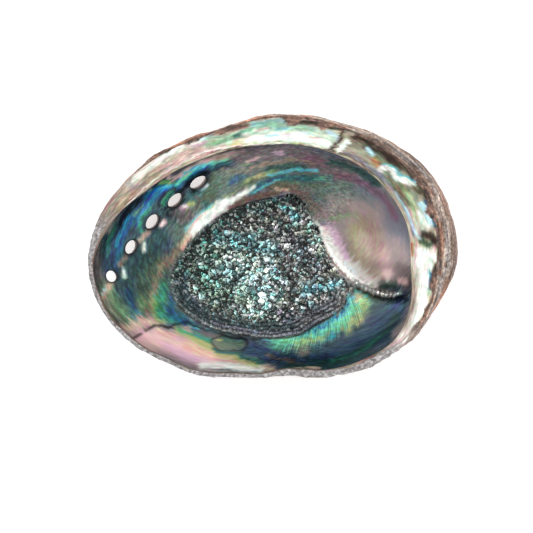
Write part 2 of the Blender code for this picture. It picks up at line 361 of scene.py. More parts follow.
# %% Relief of the back
SUTURE_REACH, SPIRE_SWELL, SPIRE_LIMIT = 12.4, 0.11, 14
ROW_RIDGE, ROW_KNOB, ROW_WIDTH = 0.8, 0.7, 4.5
reach = np.maximum(np.hypot(plan_x - NUCLEUS[0], plan_y - NUCLEUS[1]), 0.1)
direction = np.arctan2(plan_y - NUCLEUS[1], plan_x - NUCLEUS[0])
spiral = np.log(reach / SUTURE_REACH) / GROWTH - (direction + math.pi / 2)
whorl = spiral / (2 * math.pi) % 1
swell = SPIRE_SWELL * np.minimum(reach, SPIRE_LIMIT) * np.sin(math.pi * whorl) ** 0.7
swell = swell * fade(reach, SPIRE_LIMIT, 1.8 * SPIRE_LIMIT)
back = (math.radians(NEWEST_HOLE) - direction) % (2 * math.pi)
across_row = reach - HOLE_SPIRAL * np.exp(-GROWTH * back)
knobs = np.cos(math.pi * back / math.radians(HOLE_STEP)) ** 2
row_relief = (ROW_RIDGE + ROW_KNOB * knobs) * np.exp(-(across_row / ROW_WIDTH) ** 2) * fade(back, 2, 3)
back_relief = (swell + row_relief) * fade(upward, 0.7, 0.95)
height = level.copy()
height[:, is_outside] = np.maximum(level - back_relief, FOOT_WEAR)[:, is_outside]
print("the back stands out by up to %.1f mm" % back_relief.max())

# %% [markdown]
# ## The fold and the spire's hollow
# The wall between the old whorl and the bowl shows inside as a fold. It rises to the scar's right and
# curls over a small hollow, which is the inside of the spire. A bell-shaped ridge along the fold's
# path, gentle towards the spire and steep towards the bowl, gives it its lean.

# %% Fold and hollow
FOLD_HEIGHT, FOLD_SPIRE_SIDE, FOLD_BOWL_SIDE = 6.0, 10, (2.2, 5.5)
SPIRE_HOLLOWS = (((47.2, -15.4), 2.8, 3.4), ((41, 4), 1, 15))  # middle, depth, radius
fold_off, fold_side, fold_along = from_path(FOLD, plan_x, plan_y)
bowl_side = FOLD_BOWL_SIDE[0] + (FOLD_BOWL_SIDE[1] - FOLD_BOWL_SIDE[0]) * fold_along
fold_width = np.where(fold_side < 0, FOLD_SPIRE_SIDE, bowl_side)
bowl_relief = FOLD_HEIGHT * (1 - fold_along) ** 0.9 * np.exp(-(fold_off / fold_width) ** 2)
for (x, y), deep, wide in SPIRE_HOLLOWS:
    bowl_relief -= deep * np.exp(-((plan_x - x) ** 2 + (plan_y - y) ** 2) / wide ** 2)
print("the fold rises %.1f mm" % bowl_relief.max())

# %% [markdown]
# ## Scar, ledge, blister and holes
# The scar stands a little proud where the foot muscle held on. The newest pearl ends in a thin
# ledge, and a blister of pearl covers something that once lay there. The pearl also sinks towards
# each hole, and a furrow joins them.

# %% Scar, ledge, blister and furrow
SCAR_RAISE, LEDGE_RAISE, HOLE_DIMPLE = 0.9, 0.25, 0.9
BLISTER_RAISE, BLISTER_GROOVE, FURROW_DEPTH, FURROW_WIDTH = 0.7, 0.35, 0.7, 2.2
scar_depth = inside_loop(SCAR, plan_x, plan_y)
bowl_relief += SCAR_RAISE * (1 - fade(scar_depth, -1.5, 1.5))
ledge_off, ledge_side, _ = from_path(LEDGE, plan_x, plan_y)
below_ledge = np.where(ledge_side < 0, 1, 0)
bowl_relief += LEDGE_RAISE * below_ledge * fade(ledge_off, 3, 9) * (1 - fade(ledge_off, 0, 0.8))
blister = np.hypot((plan_x - BLISTER[0]) / BLISTER_SIZE[0], (plan_y - BLISTER[1]) / BLISTER_SIZE[1])
bowl_relief += (BLISTER_RAISE * fade(blister, 0.2, 1.15)
                - BLISTER_GROOVE * np.exp(-((blister - 1.1) / 0.16) ** 2))
row_off, _, row_along = from_path(ROW, plan_x, plan_y)
furrow_ends = (1 - fade(row_along, 0.02, 0.1)) * fade(row_along, 0.6, 0.95)
bowl_relief -= FURROW_DEPTH * np.exp(-(row_off / FURROW_WIDTH) ** 2) * furrow_ends
for oval, _ in hole_ovals(plan_x, plan_y):
    bowl_relief -= HOLE_DIMPLE * fade(oval, 0.9, 1.9)
height[:, is_inside] += (bowl_relief * (1 - fade(inward, 0.1, 0.4)))[:, is_inside]
points = np.stack((plan_x, plan_y, height - FOOT_WEAR), axis=2)
print("the bowl's relief goes from %.1f to %.1f mm" % (bowl_relief.min(), bowl_relief.max()))

# %% [markdown]
# ## Growth lines
# Every line on the back is an old lip. To find them, the lip is run back along the growth spiral until
# it passes each place; the turn that takes is that place's age. Noise drawn out along equal ages
# then looks like growth. Inside, and on the high wall by the shelf, the lines follow the rim instead.

# %% Ages of the back
AGE_LIMIT, AGE_STEP = 7.0, 0.04  # radians of growth
GROWTH_GIRTH, AGE_DEPTH, RING_DEPTH = 60, 50, 0.5  # mm round the shell, per radian, and per ring


def growth_age(reach, direction):
    """Radians of growth since the lip stood at each place of the back."""
    turn = np.linspace(0, 2 * math.pi, 361)
    lip_x = LOFT_CENTRE[0] + around(GIRTH, turn) * np.cos(turn) - NUCLEUS[0]
    lip_y = LOFT_CENTRE[1] + around(GIRTH, turn) * np.sin(turn) - NUCLEUS[1]
    lip_direction, lip_reach = np.arctan2(lip_y, lip_x), np.hypot(lip_x, lip_y)
    age, before, still_inside = np.zeros(reach.shape), reach, reach > 0
    for step in np.arange(0, AGE_LIMIT, AGE_STEP):
        lip = np.interp(direction + step, lip_direction, lip_reach, period=2 * math.pi)
        gap = lip * math.exp(-GROWTH * step) - reach
        leaving = still_inside & (gap < 0) & (step > 0)
        age[leaving] = step - AGE_STEP + AGE_STEP * (before / (before - gap))[leaving]
        still_inside &= gap >= 0
        before = gap
    age[still_inside] = AGE_LIMIT
    return age


age = np.zeros(reach.shape)
age[:, is_outside] = growth_age(reach[:, is_outside], direction[:, is_outside])
back_place = np.stack((GROWTH_GIRTH * np.cos(direction), GROWTH_GIRTH * np.sin(direction),
                       AGE_DEPTH * age), axis=2)
growth_place = np.stack(np.broadcast_arrays(GROWTH_GIRTH * cosine, GROWTH_GIRTH * sine,
                                            ring * RING_DEPTH), axis=2)
print("ages from %.1f to %.1f radians of growth" % (age[:, is_outside].min(), age.max()))

# %% [markdown]
# ## Fine relief
# Growth ridges, the crinkled scar and the worn crust are too fine for the sections. They push each
# point along its own normal, found from its neighbours on the grid. A displace modifier could do it,
# but here every finish needs its own pattern and its own edge.

# %% Where the wall is high, and noise along the growth lines
far_side = fade(np.abs((np.degrees(azimuths) + 120) % 360 - 180), 75, 95)[:, None]
wall_share = (1 - fade(upward, 0.55, 0.75)) * far_side * is_outside


def on_back(size, width, seed, octaves=2):
    """Noise drawn out along the old lips of the back, and along the rim on the high wall."""
    stretch = (size, size, width)
    return (noise(back_place / stretch, 1, seed, octaves) * (1 - wall_share)
            + noise(growth_place / stretch, 1, seed, octaves) * wall_share)


def grid_normals(points):
    """Unit normals of the grid, pointing out of the wall."""
    ahead, behind = np.roll(points[:-1], -1, axis=0), np.roll(points[:-1], 1, axis=0)
    along_ring = np.concatenate((ahead - behind, (ahead - behind)[:1]))
    along_section = np.gradient(points, axis=1)
    normal = np.cross(along_ring, along_section)
    length = np.linalg.norm(normal, axis=2, keepdims=True)
    return normal / np.maximum(length, 1e-9)


print("share of the grid on the high wall: %.3f" % wall_share.mean())

# %% Push the fine relief out
CRUST_GRAIN, RIDGE_HEIGHT, LUMP_HEIGHT, CRINKLE_HEIGHT, LIP_ROUGH = 0.16, 0.5, 0.3, 0.8, 0.35
BAND_HEIGHT, SHELF_LINE_HEIGHT = 0.05, 0.14
ridges = on_back(14, 2.6, 11, 3) + 1.1 * on_back(40, 9, 12) + 0.16 * np.sin(20 * spiral)
crust_lift = (CRUST_GRAIN * noise(points, 3.5, 21, 3) + RIDGE_HEIGHT * ridges
              + LUMP_HEIGHT * noise(points * (1, 1, 2.5), 16, 31, 2))
unworn = is_outside * (1 - fade(height, 1.0, 3.0))
creases = np.abs(noise(points + 1.5 * noise(points, 4, 55)[..., None], 2.6, 41, 2))
crinkle = (0.45 - 0.9 * np.minimum(creases, 0.5)) * (1 - fade(scar_depth, -0.5, 1.5)) * is_inside
bands = noise(growth_place / (14, 14, 1.6), 1, 61) * BAND_HEIGHT
lengthwise = noise(growth_place / (9, 9, 1.1), 1, 71) * SHELF_LINE_HEIGHT * is_shelf
lip_edge = np.exp(-((ring - OUTSIDE_RINGS - 4) / 9) ** 2) * noise(points, 2.2, 81, 3) * LIP_ROUGH
lift = (crust_lift * unworn + lip_edge + crinkle * CRINKLE_HEIGHT
        + bands * is_inside * fade(scar_depth, -2, 0) + lengthwise)
points = points + grid_normals(points) * lift[..., None]
points[:, 0], points[:, -1] = points[:, 0].mean(axis=0), points[:, -1].mean(axis=0)
points[..., 2] = np.maximum(points[..., 2], 0)
print("relief from %.2f to %.2f mm" % (lift.min(), lift.max()))

# %% [markdown]
# ## The pearl's colours
# Mother of pearl has no pigment: thin layers give blues, greens and pinks that follow how thick
# they grew. A formula for thin layers gives even rainbows, which no shell has. A painter's way suits
# it better: a few named colours, laid on in strokes from the broadest to the smallest.

# %% Named colours
# red, green and blue as the eye sees them, from 0 to 1
COLOURS = {
    "ink": (0.07, 0.10, 0.16), "navy": (0.19, 0.27, 0.36), "peacock": (0.17, 0.35, 0.50),
    "sky": (0.10, 0.50, 0.68), "cyan": (0.42, 0.74, 0.80), "ice": (0.80, 0.93, 0.98),
    "deep_green": (0.15, 0.27, 0.25), "teal": (0.16, 0.36, 0.38), "emerald": (0.27, 0.58, 0.47),
    "mint": (0.50, 0.83, 0.68), "leaf": (0.47, 0.66, 0.42), "olive": (0.31, 0.37, 0.29),
    "gold_green": (0.68, 0.70, 0.47), "pale_green": (0.84, 0.93, 0.86), "slate": (0.47, 0.48, 0.54),
    "grey_green": (0.40, 0.47, 0.44), "dark_teal": (0.20, 0.29, 0.31), "plum": (0.43, 0.38, 0.39),
    "mauve": (0.67, 0.59, 0.58), "lilac": (0.85, 0.71, 0.80), "steel": (0.52, 0.55, 0.54),
    "foam": (0.76, 0.87, 0.82), "rose": (0.96, 0.79, 0.79), "magenta": (0.52, 0.27, 0.38),
    "peach": (0.90, 0.75, 0.67), "tan": (0.58, 0.49, 0.42), "beige": (0.76, 0.69, 0.63),
    "taupe": (0.56, 0.49, 0.46), "brown": (0.40, 0.31, 0.27), "dark_brown": (0.20, 0.15, 0.12),
    "rust": (0.64, 0.42, 0.31), "orange": (0.80, 0.58, 0.38), "pearl": (0.95, 0.93, 0.91),
    "white": (1.0, 1.0, 0.98), "grey": (0.58, 0.56, 0.56),
}
print(len(COLOURS), "colours")

# %% [markdown]
# ## Laying a stroke
# Each stroke is a colour, a half width in mm, a strength and a path. It is full along its middle and
# fades to its edge, and later strokes cover earlier ones. A texture painted by hand would do too,
# but strokes kept in millimetres need no file, and each can be moved by itself.

# %% Lay strokes
FULL_OUT_TO, FADED_OUT_AT = 0.1, 1.15  # shares of a stroke's half width


def lay_strokes(canvas, strokes, x, y):
    """Paints strokes over colours (..., 3), softly."""
    for name, width, strength, path in strokes:
        line = smooth_path(path, 4)
        reach = FADED_OUT_AT * width
        near = ((x > line[:, 0].min() - reach) & (x < line[:, 0].max() + reach)
                & (y > line[:, 1].min() - reach) & (y < line[:, 1].max() + reach))
        off = from_path(line, x[near], y[near])[0]
        amount = (strength * fade(off, FULL_OUT_TO * width, reach))[:, None]
        canvas[near] += (np.array(COLOURS[name]) - canvas[near]) * amount


def lay_share(colour, name, share):
    """Blends a named colour over the whole shell, by a share at each point."""
    colour += (np.array(COLOURS[name]) - colour) * share[..., None]


print("strokes fade out at", FADED_OUT_AT, "of their half width")

# %% [markdown]
# ## Strokes on the front wall
# The pearl is deepest blue here, in bands that run along the row of holes from the shelf's edge.
# The widest stroke, a dark one, comes first, so that the thin lines laid over it stay clear.

# %% Front wall
FRONT_WALL = (
    ("dark_teal", 22, 1, ((-52, 12), (-56, -4), (-58, -18))),
    ("taupe", 3, .9, ((-60, 19), (-66, 13), (-69.5, 4), (-70.5, -6), (-69, -16))),
    ("deep_green", 2.6, .9, ((-62, 14.5), (-65.5, 8), (-68, 0), (-68.5, -8))),
    ("navy", 6, .95, ((-45, 25), (-52, 20), (-59, 13), (-64, 5), (-66, -3), (-66, -9))),
    ("emerald", 1.1, .6, ((-64, 9), (-67, 2), (-68, -5))),
    ("peacock", 2.4, .8, ((-46, 22.5), (-52, 18), (-58, 11), (-62, 3), (-63.5, -4))),
    ("ink", 1.6, .8, ((-55, 19.5), (-60, 14), (-63, 8))),
    ("sky", 1.3, .7, ((-59, 12), (-62, 6), (-64, 0))),
    ("leaf", .8, .7, ((-54, 16), (-57, 13))),
    ("sky", 2, .9, ((-51, 21.5), (-46, 23.7), (-41, 24.5), (-38, 26.5), (-34, 29.5), (-28, 32),
                    (-22, 34))),
    ("leaf", 1.6, .8, ((-46, 25.5), (-42, 26))),
    ("mint", 1.2, .8, ((-40, 25), (-37, 27.8), (-33, 31.5), (-26, 34), (-19, 36))),
    ("beige", 1.5, .85, ((-67.5, 6), (-65, 11), (-61, 16.6), (-56, 21), (-50, 24.6))),
    ("rose", 1.4, .85, ((-44, 28.3), (-40, 28.3), (-36, 30.8), (-30, 34), (-22, 37), (-13, 39))),
    ("tan", .8, .7, ((-24, 36), (-16, 37.5), (-10, 38.5))),
    ("ink", 1.9, .95, ((-38, 22.5), (-34, 27), (-29, 30.3), (-22, 33), (-15, 35), (-10, 37))),
    ("teal", 1.2, .8, ((-24, 33.2), (-18, 34.2), (-14, 34.5))),
    ("peacock", 1.5, .8, ((-49, 19.5), (-53, 15), (-56, 9))),
    ("emerald", 1.3, .9, ((-50.5, 15.5), (-53.5, 12), (-55, 8), (-54, 6))),
    ("cyan", .7, .6, ((-50.5, 17.5), (-54, 13), (-55.5, 9))),
    ("emerald", 2, .9, ((-42, 21.5), (-44.5, 19), (-45, 16.8))),
    ("ink", .8, .95, ((-40.5, 23.2), (-44, 21.8), (-46.6, 18.8), (-46, 15.8), (-43, 14.2), (-40, 14.5))),
    ("navy", 1.2, .6, ((-46, 13.5), (-49, 14.5), (-52.5, 11))),
)
print(len(FRONT_WALL), "strokes")

# %% [markdown]
# ## Strokes below the holes
# Between the holes and the ledge the colours change to olive, green and peach. Wide weak strokes let
# the colour beneath show through, which gives this cloudy mixture.

# %% Below the holes
BELOW_HOLES = (
    ("navy", 5, .6, ((-47, 6), (-44, 2), (-47, -2), (-53, -5))),
    ("olive", 8, .75, ((-48, -8), (-50, -15), (-52, -21))),
    ("deep_green", 4, .6, ((-54, -9), (-50, -3), (-46, 4))),
    ("grey_green", 6, .8, ((-67, -17), (-64, -25), (-57, -27))),
    ("leaf", 4, .45, ((-67, -18), (-63, -26), (-56, -29))),
    ("beige", 2, .6, ((-68, -22), (-64, -29), (-58, -33))),
    ("dark_teal", 5, .85, ((-61, -14), (-60, -18), (-59, -21))),
    ("peacock", 2.4, .6, ((-59, -19), (-57, -26), (-55, -28))),
    ("leaf", 2, .5, ((-54, -22), (-52, -26), (-48, -20))),
    ("tan", 2, .75, ((-53, -29.5), (-50, -27), (-49, -22), (-48, -14), (-44.5, -8), (-41, -2))),
    ("peach", 3, .8, ((-62, -34), (-57, -32.4), (-52, -31.5), (-46, -31))),
    ("emerald", 3.4, .8, ((-45, -16), (-46.5, -23), (-44.5, -29), (-38, -31))),
    ("gold_green", 1.2, .6, ((-49, -24), (-48, -29), (-44, -31))),
    ("peacock", 2.8, .75, ((-41.5, -21), (-42, -27), (-38, -30), (-33, -32))),
    ("leaf", 1.2, .6, ((-47, -22), (-48, -27), (-47, -31))),
    ("cyan", .9, .7, ((-34, -32.5), (-24, -34.7), (-12, -37.3), (0, -38.8))),
)
print(len(BELOW_HOLES), "strokes")

# %% [markdown]
# ## Strokes beside the scar
# A painted highlight, a white sheen, runs round the scar's upper edge, with brown close to the scar. Three
# strokes, each thinner than the one before, make the sheen taper.

# %% Beside the scar
BESIDE_SCAR = (
    ("grey_green", 7, .8, ((-20, 24), (-30, 15), (-38, 6))),
    ("plum", 4.2, .8, ((-39, 15.5), (-37, 12.5), (-34, 11.5))),
    ("gold_green", 1.8, .6, ((-36, 16), (-33.5, 16.8))),
    ("deep_green", 1.1, .8, ((-43, 11.5), (-40, 9), (-35, 9), (-31, 12))),
    ("olive", 3.6, .85, ((-27, 19.5), (-24.5, 24), (-23, 28))),
    ("deep_green", 1, .7, ((-31, 19), (-28, 17.5), (-24, 18.5))),
    ("cyan", 2.2, .55, ((-33, 8.5), (-29, 12.5), (-25, 16))),
    ("tan", 2, .7, ((-41, -5), (-38.5, 0), (-35, 4))),
    ("peach", 2, .9, ((-37.5, 1), (-34, 5), (-31, 8))),
    # Painted highlight: the white sheen beside the scar's upper edge.
    ("white", 3.4, 1, ((-31.5, 8), (-27, 12.5), (-22, 16.5))),
    ("white", 2.2, .95, ((-22, 16.5), (-17, 19.2), (-12, 21.8), (-7, 25))),
    ("pearl", 1.2, .7, ((-8, 24.5), (-4, 26.8), (1, 27.5))),
    ("brown", 2, .8, ((-22, 13.5), (-14, 18), (-8, 20.5), (0, 22))),
)
print(len(BESIDE_SCAR), "strokes")

# %% [markdown]
# ## Strokes under the shelf
# The steep wall under the shelf is dark plum, with a few thin bright bands along it. Noise would
# scatter such bands anywhere. As strokes, each keeps its place below the shelf's edge.

# %% Under the shelf
UNDER_SHELF = (
    ("plum", 8, .9, ((-12, 37), (0, 38), (12, 36.5), (24, 33))),
    ("lilac", 1.4, .7, ((1.5, 38.5), (3.5, 38.8))),
    ("beige", .6, .6, ((-8, 33), (-3, 34.6), (2, 35.2))),
    ("tan", .9, .7, ((6, 36.4), (12, 35.6), (17, 34))),
    ("leaf", .7, .5, ((-14, 33.4), (-9, 34.2))),
    ("magenta", 2.4, .35, ((14, 37), (20, 35))),
    ("rose", .9, .7, ((-10, 35.4), (-6.5, 36.6))),
    ("tan", 1.3, .7, ((-21, 30.5), (-12, 31.5), (-2, 34), (8, 35))),
    ("grey_green", 4, .7, ((-22, 28), (-12, 29), (-2, 30))),
    ("deep_green", 2.4, .9, ((-1, 32), (5, 33), (13, 32.3))),
    ("peacock", 1.8, .6, ((-17, 27), (-12, 28.7))),
    ("olive", 3, .8, ((-12, 26), (0, 26), (12, 26), (22, 25))),
    ("gold_green", 1.3, .65, ((-11, 27.2), (-5, 29.5), (2, 30.8))),
    ("cyan", 1, .9, ((-1, 29.5), (5, 31), (12, 31.9), (18, 31.4))),
    ("teal", 2, .9, ((-9, 23), (-4, 26), (2, 28.4), (8, 28.7), (15, 28.2), (24, 28.2))),
    ("cyan", .8, .8, ((-8, 22.5), (-3, 25.3), (3, 28))),
    ("navy", .9, .7, ((-6, 24.6), (0, 28), (5, 29.3))),
    ("mint", .8, .7, ((18, 28), (24, 28.4))),
    ("brown", 3.4, .75, ((0, 24), (8, 23.5), (14, 20), (17, 16))),
    ("peach", .8, .7, ((1, 24), (6, 23.2))),
)
print(len(UNDER_SHELF), "strokes")

# %% [markdown]
# ## Strokes in the spire's hollow
# The oldest pearl is smooth and pale, with rose and mauve round a greenish middle. The white along the
# fold is a painted highlight on its flank and crest. One very wide stroke sets the tone, and soft ones
# over it change it slowly.

# %% The spire's side of the fold
SPIRE_SIDE_PEARL = (
    ("mauve", 26, 1, ((38, 8), (40, -4))),
    ("grey_green", 8, .8, ((24, 24), (32, 25), (40, 22))),
    ("slate", 6, .8, ((38, 25), (45, 19), (50, 11), (52, 5))),
    ("mauve", 4, .8, ((51, 2), (54, -5), (54, -12))),
    ("mauve", 6, .7, ((26, 17), (33, 17), (42, 14))),
    ("plum", 2.6, .5, ((25, 13), (31, 14))),
    ("leaf", 1.6, .4, ((24, 12), (28, 12), (35, 13.5))),
    ("tan", 5, .6, ((38, 10), (42, 4), (44, -3))),
    ("gold_green", 4.6, .5, ((34, 7), (35, 1), (37, -5))),
    ("beige", 5, .8, ((37, 3), (38, -3), (39, -9), (42, -13))),
    ("rose", 5, .5, ((46, -4), (47, -10), (44, -13))),
    # The pearl and ice strokes beside the fold are a painted highlight on its flank.
    ("pearl", 3.4, .8, ((30, -5), (34, -8.5), (38, -12), (42, -15.5))),
    ("lilac", 3.6, .7, ((24, 7), (26.5, 1), (29, -4))),
    ("pearl", 4.4, .9, ((22.5, 4), (25.5, -1.5), (29, -6.5), (33, -11))),
    ("lilac", 2.2, .6, ((25, 6), (28, 0), (31, -4))),
    ("ice", 1.6, .6, ((30, -8), (33.5, -11.5))),
    ("rose", 2.4, .6, ((19.5, 8), (22, 6))),
    ("magenta", 2.2, .5, ((26, 29.5), (34, 27.8), (41, 24), (47, 18.5), (51, 12))),
    ("deep_green", 2.2, .9, ((24, 35), (32, 33), (39, 29), (43, 25.5))),
    # Painted highlight along the fold's crest, in the pearl and white strokes.
    ("pearl", 1.7, .9, ((11, 16), (15.5, 11), (19.5, 7.5), (21, 3))),
    ("tan", .5, .9, ((13.5, 14.5), (18, 8.5), (21, 3), (24, -3), (29, -9), (34, -13.5))),
    ("white", .7, .9, ((20, 2), (22.6, -2.5), (27, -8), (31.5, -12.5), (35.5, -15.4))),
    # Painted shade in the hollow under the fold's curl.
    ("olive", 1.6, .7, ((45, -17), (50, -16.4))),
    ("rose", 1.5, .9, ((52, -15), (54.5, -14.5))),
    ("tan", .9, .8, ((36, -16), (41, -18), (46, -19.4), (51, -19.6))),
)
print(len(SPIRE_SIDE_PEARL), "strokes")

# %% [markdown]
# ## Strokes on the lip side
# Below the fold the bowl turns to deep navy, and a bright green and cyan fan spreads from the scar.
# The fan's rays are too many to paint. It is laid in wide strokes here, and combed into rays later.

# %% Lip side
LIP_SIDE = (
    ("dark_teal", 6, .95, ((38, -25), (46, -25), (54, -22.5))),
    ("olive", 4, .4, ((38, -26), (46, -24))),
    ("navy", 8, .95, ((-12, -42), (0, -44), (10, -46), (20, -44), (30, -41), (40, -36), (48, -28),
                      (51, -23))),
    ("dark_teal", 2.4, .7, ((0, -41.5), (16, -43), (28, -38), (36, -33))),
    ("deep_green", 2.4, .8, ((51, -28), (46, -34.5), (40, -40), (30, -45.3), (20, -48), (6, -49))),
    ("emerald", 1, .4, ((44, -36.5), (36, -43), (24, -47))),
    ("mauve", 2.6, .85, ((58.5, -3), (59.5, -10), (59.5, -18), (57.5, -25), (54.5, -31), (50, -36))),
    ("slate", 1.4, .5, ((57, -16), (56.5, -22), (54, -28))),
    ("brown", .8, .8, ((-3, -44.3), (4, -46.2), (12, -47.2))),
    ("peach", .8, .8, ((7, -49.8), (13, -49.9), (19, -49.6))),
    ("tan", 3.6, .75, ((8, -40), (12.5, -42.5))),
    ("mint", 5.5, .85, ((2, -38.5), (10, -38), (19, -36), (27, -31.5), (33, -26), (37, -20.5))),
    ("cyan", 2.2, .75, ((16, -35), (24, -30.5), (29.5, -26), (32, -21))),
    ("peacock", 1, .6, ((12, -37), (20, -33), (27, -28.5), (31, -24))),
    ("gold_green", 2.8, .7, ((36, -20), (38, -24), (36, -29), (31, -34))),
    ("peach", 1.8, .6, ((34.5, -21), (37, -19))),
    ("cyan", 1.4, .7, ((35, -18.3), (38, -18.6), (40, -20))),
    ("sky", 1.8, .95, ((22, -37), (25, -35.6))),
    ("gold_green", 1.6, .6, ((10, -39.5), (18, -38.5), (24, -35.5))),
)
print(len(LIP_SIDE), "strokes")

# %% [markdown]
# ## Strokes on the newest pearl
# The last layer, below the ledge, is a thin rosy one, and the white along the lip is a painted highlight.
# It lies over the older pearl, so its strokes come last. The parts are then joined in this order.

# %% Newest pearl
NEWEST_PEARL = (
    ("rose", 8, .95, ((-54, -37), (-46, -39), (-36, -42), (-26, -46))),
    ("lilac", 3, .6, ((-44, -41), (-35, -45), (-28, -47))),
    ("peach", 2.6, .8, ((-36, -40.5), (-27, -43.5), (-17, -46.5), (-6, -49), (0, -50.2))),
    ("peach", 1.6, .6, ((-47, -35), (-40, -36), (-34, -34))),
    # Painted highlight along the lip.
    ("white", 2.2, .95, ((-29, -49), (-21, -48.8), (-13, -49.6), (-5, -50.3))),
    ("gold_green", 2.2, .85, ((-38, -35), (-32, -38), (-27, -40.5), (-22, -43.5), (-14, -45.5),
                              (-6, -48))),
    ("emerald", 1.6, .85, ((-37, -35.3), (-31, -36.7), (-26, -38.5))),
    ("teal", 1.4, .8, ((-24, -42.5), (-16, -43.8), (-10, -46), (-4, -47.6))),
    ("olive", 4.2, .9, ((-21, -39), (-14, -40))),
    ("teal", 1.6, .5, ((-20, -38.2), (-14, -39))),
    ("gold_green", .7, .9, ((-23.4, -38), (-22, -38.3))),
)
BOWL_STROKES = (FRONT_WALL + BELOW_HOLES + BESIDE_SCAR + UNDER_SHELF + SPIRE_SIDE_PEARL + LIP_SIDE
                + NEWEST_PEARL)
print(len(BOWL_STROKES), "strokes in the bowl")

# %% [markdown]
# ## Strokes on the shelf
# The shelf is pale: cream near the holes, green and white at the top, and patchy olive, brown and white
# towards the spire. The broad white at the top and on the spire's side is partly painted reflection. It is
# painted apart from the bowl, so no stroke runs over its edge.

# %% Shelf
SHELF_STROKES = (
    ("beige", 40, 1, ((-40, 34), (0, 44), (40, 34), (60, 5))),
    # Partly painted reflection: the pearl along the top left of the shelf.
    ("pearl", 3, .9, ((-58, 25.5), (-53, 30), (-45, 36), (-37, 41), (-29, 44.5))),
    ("beige", 3.4, .9, ((-60, 18), (-52, 25), (-44, 31), (-36, 35))),
    ("tan", 3.2, .7, ((-62, 15), (-54, 22.5), (-46, 29), (-38, 33.5))),
    ("grey", 1.8, .6, ((-58, 24), (-53, 24.5))),
    ("grey", .8, .6, ((-44, 35), (-42, 31))),
    ("rose", 2.2, .6, ((-44, 31.5), (-36, 36), (-27, 39))),
    ("mauve", 1, .6, ((-38, 34.5), (-30, 38), (-22, 40))),
    ("ice", 2, .9, ((-34, 42.5), (-25, 45.3))),
    ("mint", 3, .45, ((-26, 42), (-17, 43.5), (-8, 46), (0, 48))),
    ("teal", 1.4, .7, ((-15.5, 44), (-12, 44.8))),
    ("orange", 1.4, .5, ((-17, 40.8), (-12, 40.8))),
    ("pale_green", 6, .9, ((-8, 44), (4, 45), (14, 45), (22, 43))),
    ("emerald", 1.6, .3, ((-8, 48.5), (2, 49), (12, 48), (16, 46.5))),
    ("rose", 1.2, .4, ((-12, 44.5), (-3, 44.5), (9, 45.5))),
    ("cyan", 1.4, .5, ((-9, 49.4), (-3, 50.2), (4, 50.7), (9, 49.6))),
    # Partly painted reflection: the white along the top.
    ("white", 2, .8, ((-10, 42.5), (2, 43.5), (14, 43), (23, 40.6))),
    ("ice", 1, .7, ((22, 46), (25.6, 44), (26.6, 42))),
    ("gold_green", .9, .5, ((-14, 40.9), (0, 41.8), (12, 41))),
    ("olive", 6, .7, ((32, 41), (40, 36), (47, 29), (54, 20))),
    ("beige", 2.4, .7, ((30, 40), (36, 37), (41, 32))),
    ("orange", 2, .4, ((41, 34.5), (43, 32.3))),
    ("ice", 1.2, .9, ((38.5, 39.2), (40, 36.8))),
    ("white", 1.6, 1, ((43.5, 31), (48, 31), (49, 29), (52, 26.8), (56, 25.8))),
    ("cyan", .6, .7, ((44, 32), (49.5, 31.6), (53, 28.3), (57, 26))),
    ("pale_green", 2.6, .6, ((55, 19), (57.5, 15), (59, 10), (61, 5))),
    ("gold_green", 2, .5, ((50, 24), (55, 19), (58, 12))),
    ("ice", 1.6, .9, ((61, 17.5), (62.5, 13), (64.5, 8.5))),
    ("white", 1.4, .8, ((60.5, 12.5), (62, 9))),
    ("peacock", .6, .7, ((61.5, 18.5), (64, 12.5), (66, 7.5))),
    ("olive", 2, .9, ((60, 3), (62, 1), (64, 1))),
    ("dark_brown", 1.7, .9, ((61, 5), (64, 3.8), (66, 1))),
    ("white", 2.4, .95, ((59.5, -2), (63, -3), (65.5, -5))),
    ("pale_green", 1.6, .8, ((63, -6), (65, -9))),
    ("dark_brown", 2.2, .95, ((67, -8), (65.5, -12.5))),
    ("rose", 3, .6, ((61.5, -28), (57, -35), (49, -41))),
    ("pearl", 3.4, .7, ((60, -26), (57, -32), (52, -37))),
    # Partly painted reflection: the broad white band on the spire's side.
    ("white", 4.4, 1, ((59.6, -5), (61, -10), (61.4, -17), (60.8, -24), (59.4, -29))),
    ("cyan", .7, .7, ((63.4, -10), (63.6, -16), (63, -20))),
    ("gold_green", .8, .6, ((63.6, -17), (62.8, -22))),
    ("slate", 1.1, .8, ((29, 37.4), (38, 32.8), (45, 26.4), (51, 19.5), (55, 11), (57, 4))),
    ("ice", .9, .8, ((49, 22), (53, 16), (56, 9), (59, 2.5))),
    ("rust", .7, .8, ((56.3, 1), (56.4, -4))),
    ("dark_brown", 1, .85, ((27.8, 46.5), (26.8, 43.5), (25.5, 40.6), (23.4, 38.6))),
    ("white", 1.2, 1, ((29.8, 42), (27.8, 39.2), (26.6, 38))),
    ("brown", .6, .8, ((24, 38.2), (31, 35.8), (38, 31.2), (44, 25.8))),
    ("brown", 1.6, .6, ((32, 44), (37, 42.5))),
    ("dark_brown", 2, .85, ((39, 40.3), (44, 37.6), (49, 33.6))),
    ("dark_brown", 1.2, .7, ((56, 24.5), (59, 21.5))),
    ("brown", 1.7, .8, ((-27, 45.6), (-20, 46.6), (-14, 47.6), (-11, 48.6))),
    ("dark_brown", 1.2, .85, ((8, 50), (16, 49.4), (24, 47.6), (31, 47))),
    ("rust", 2, .8, ((67, -14), (65.5, -20), (63, -26), (61, -30))),
)
print(len(SHELF_STROKES), "strokes on the shelf")
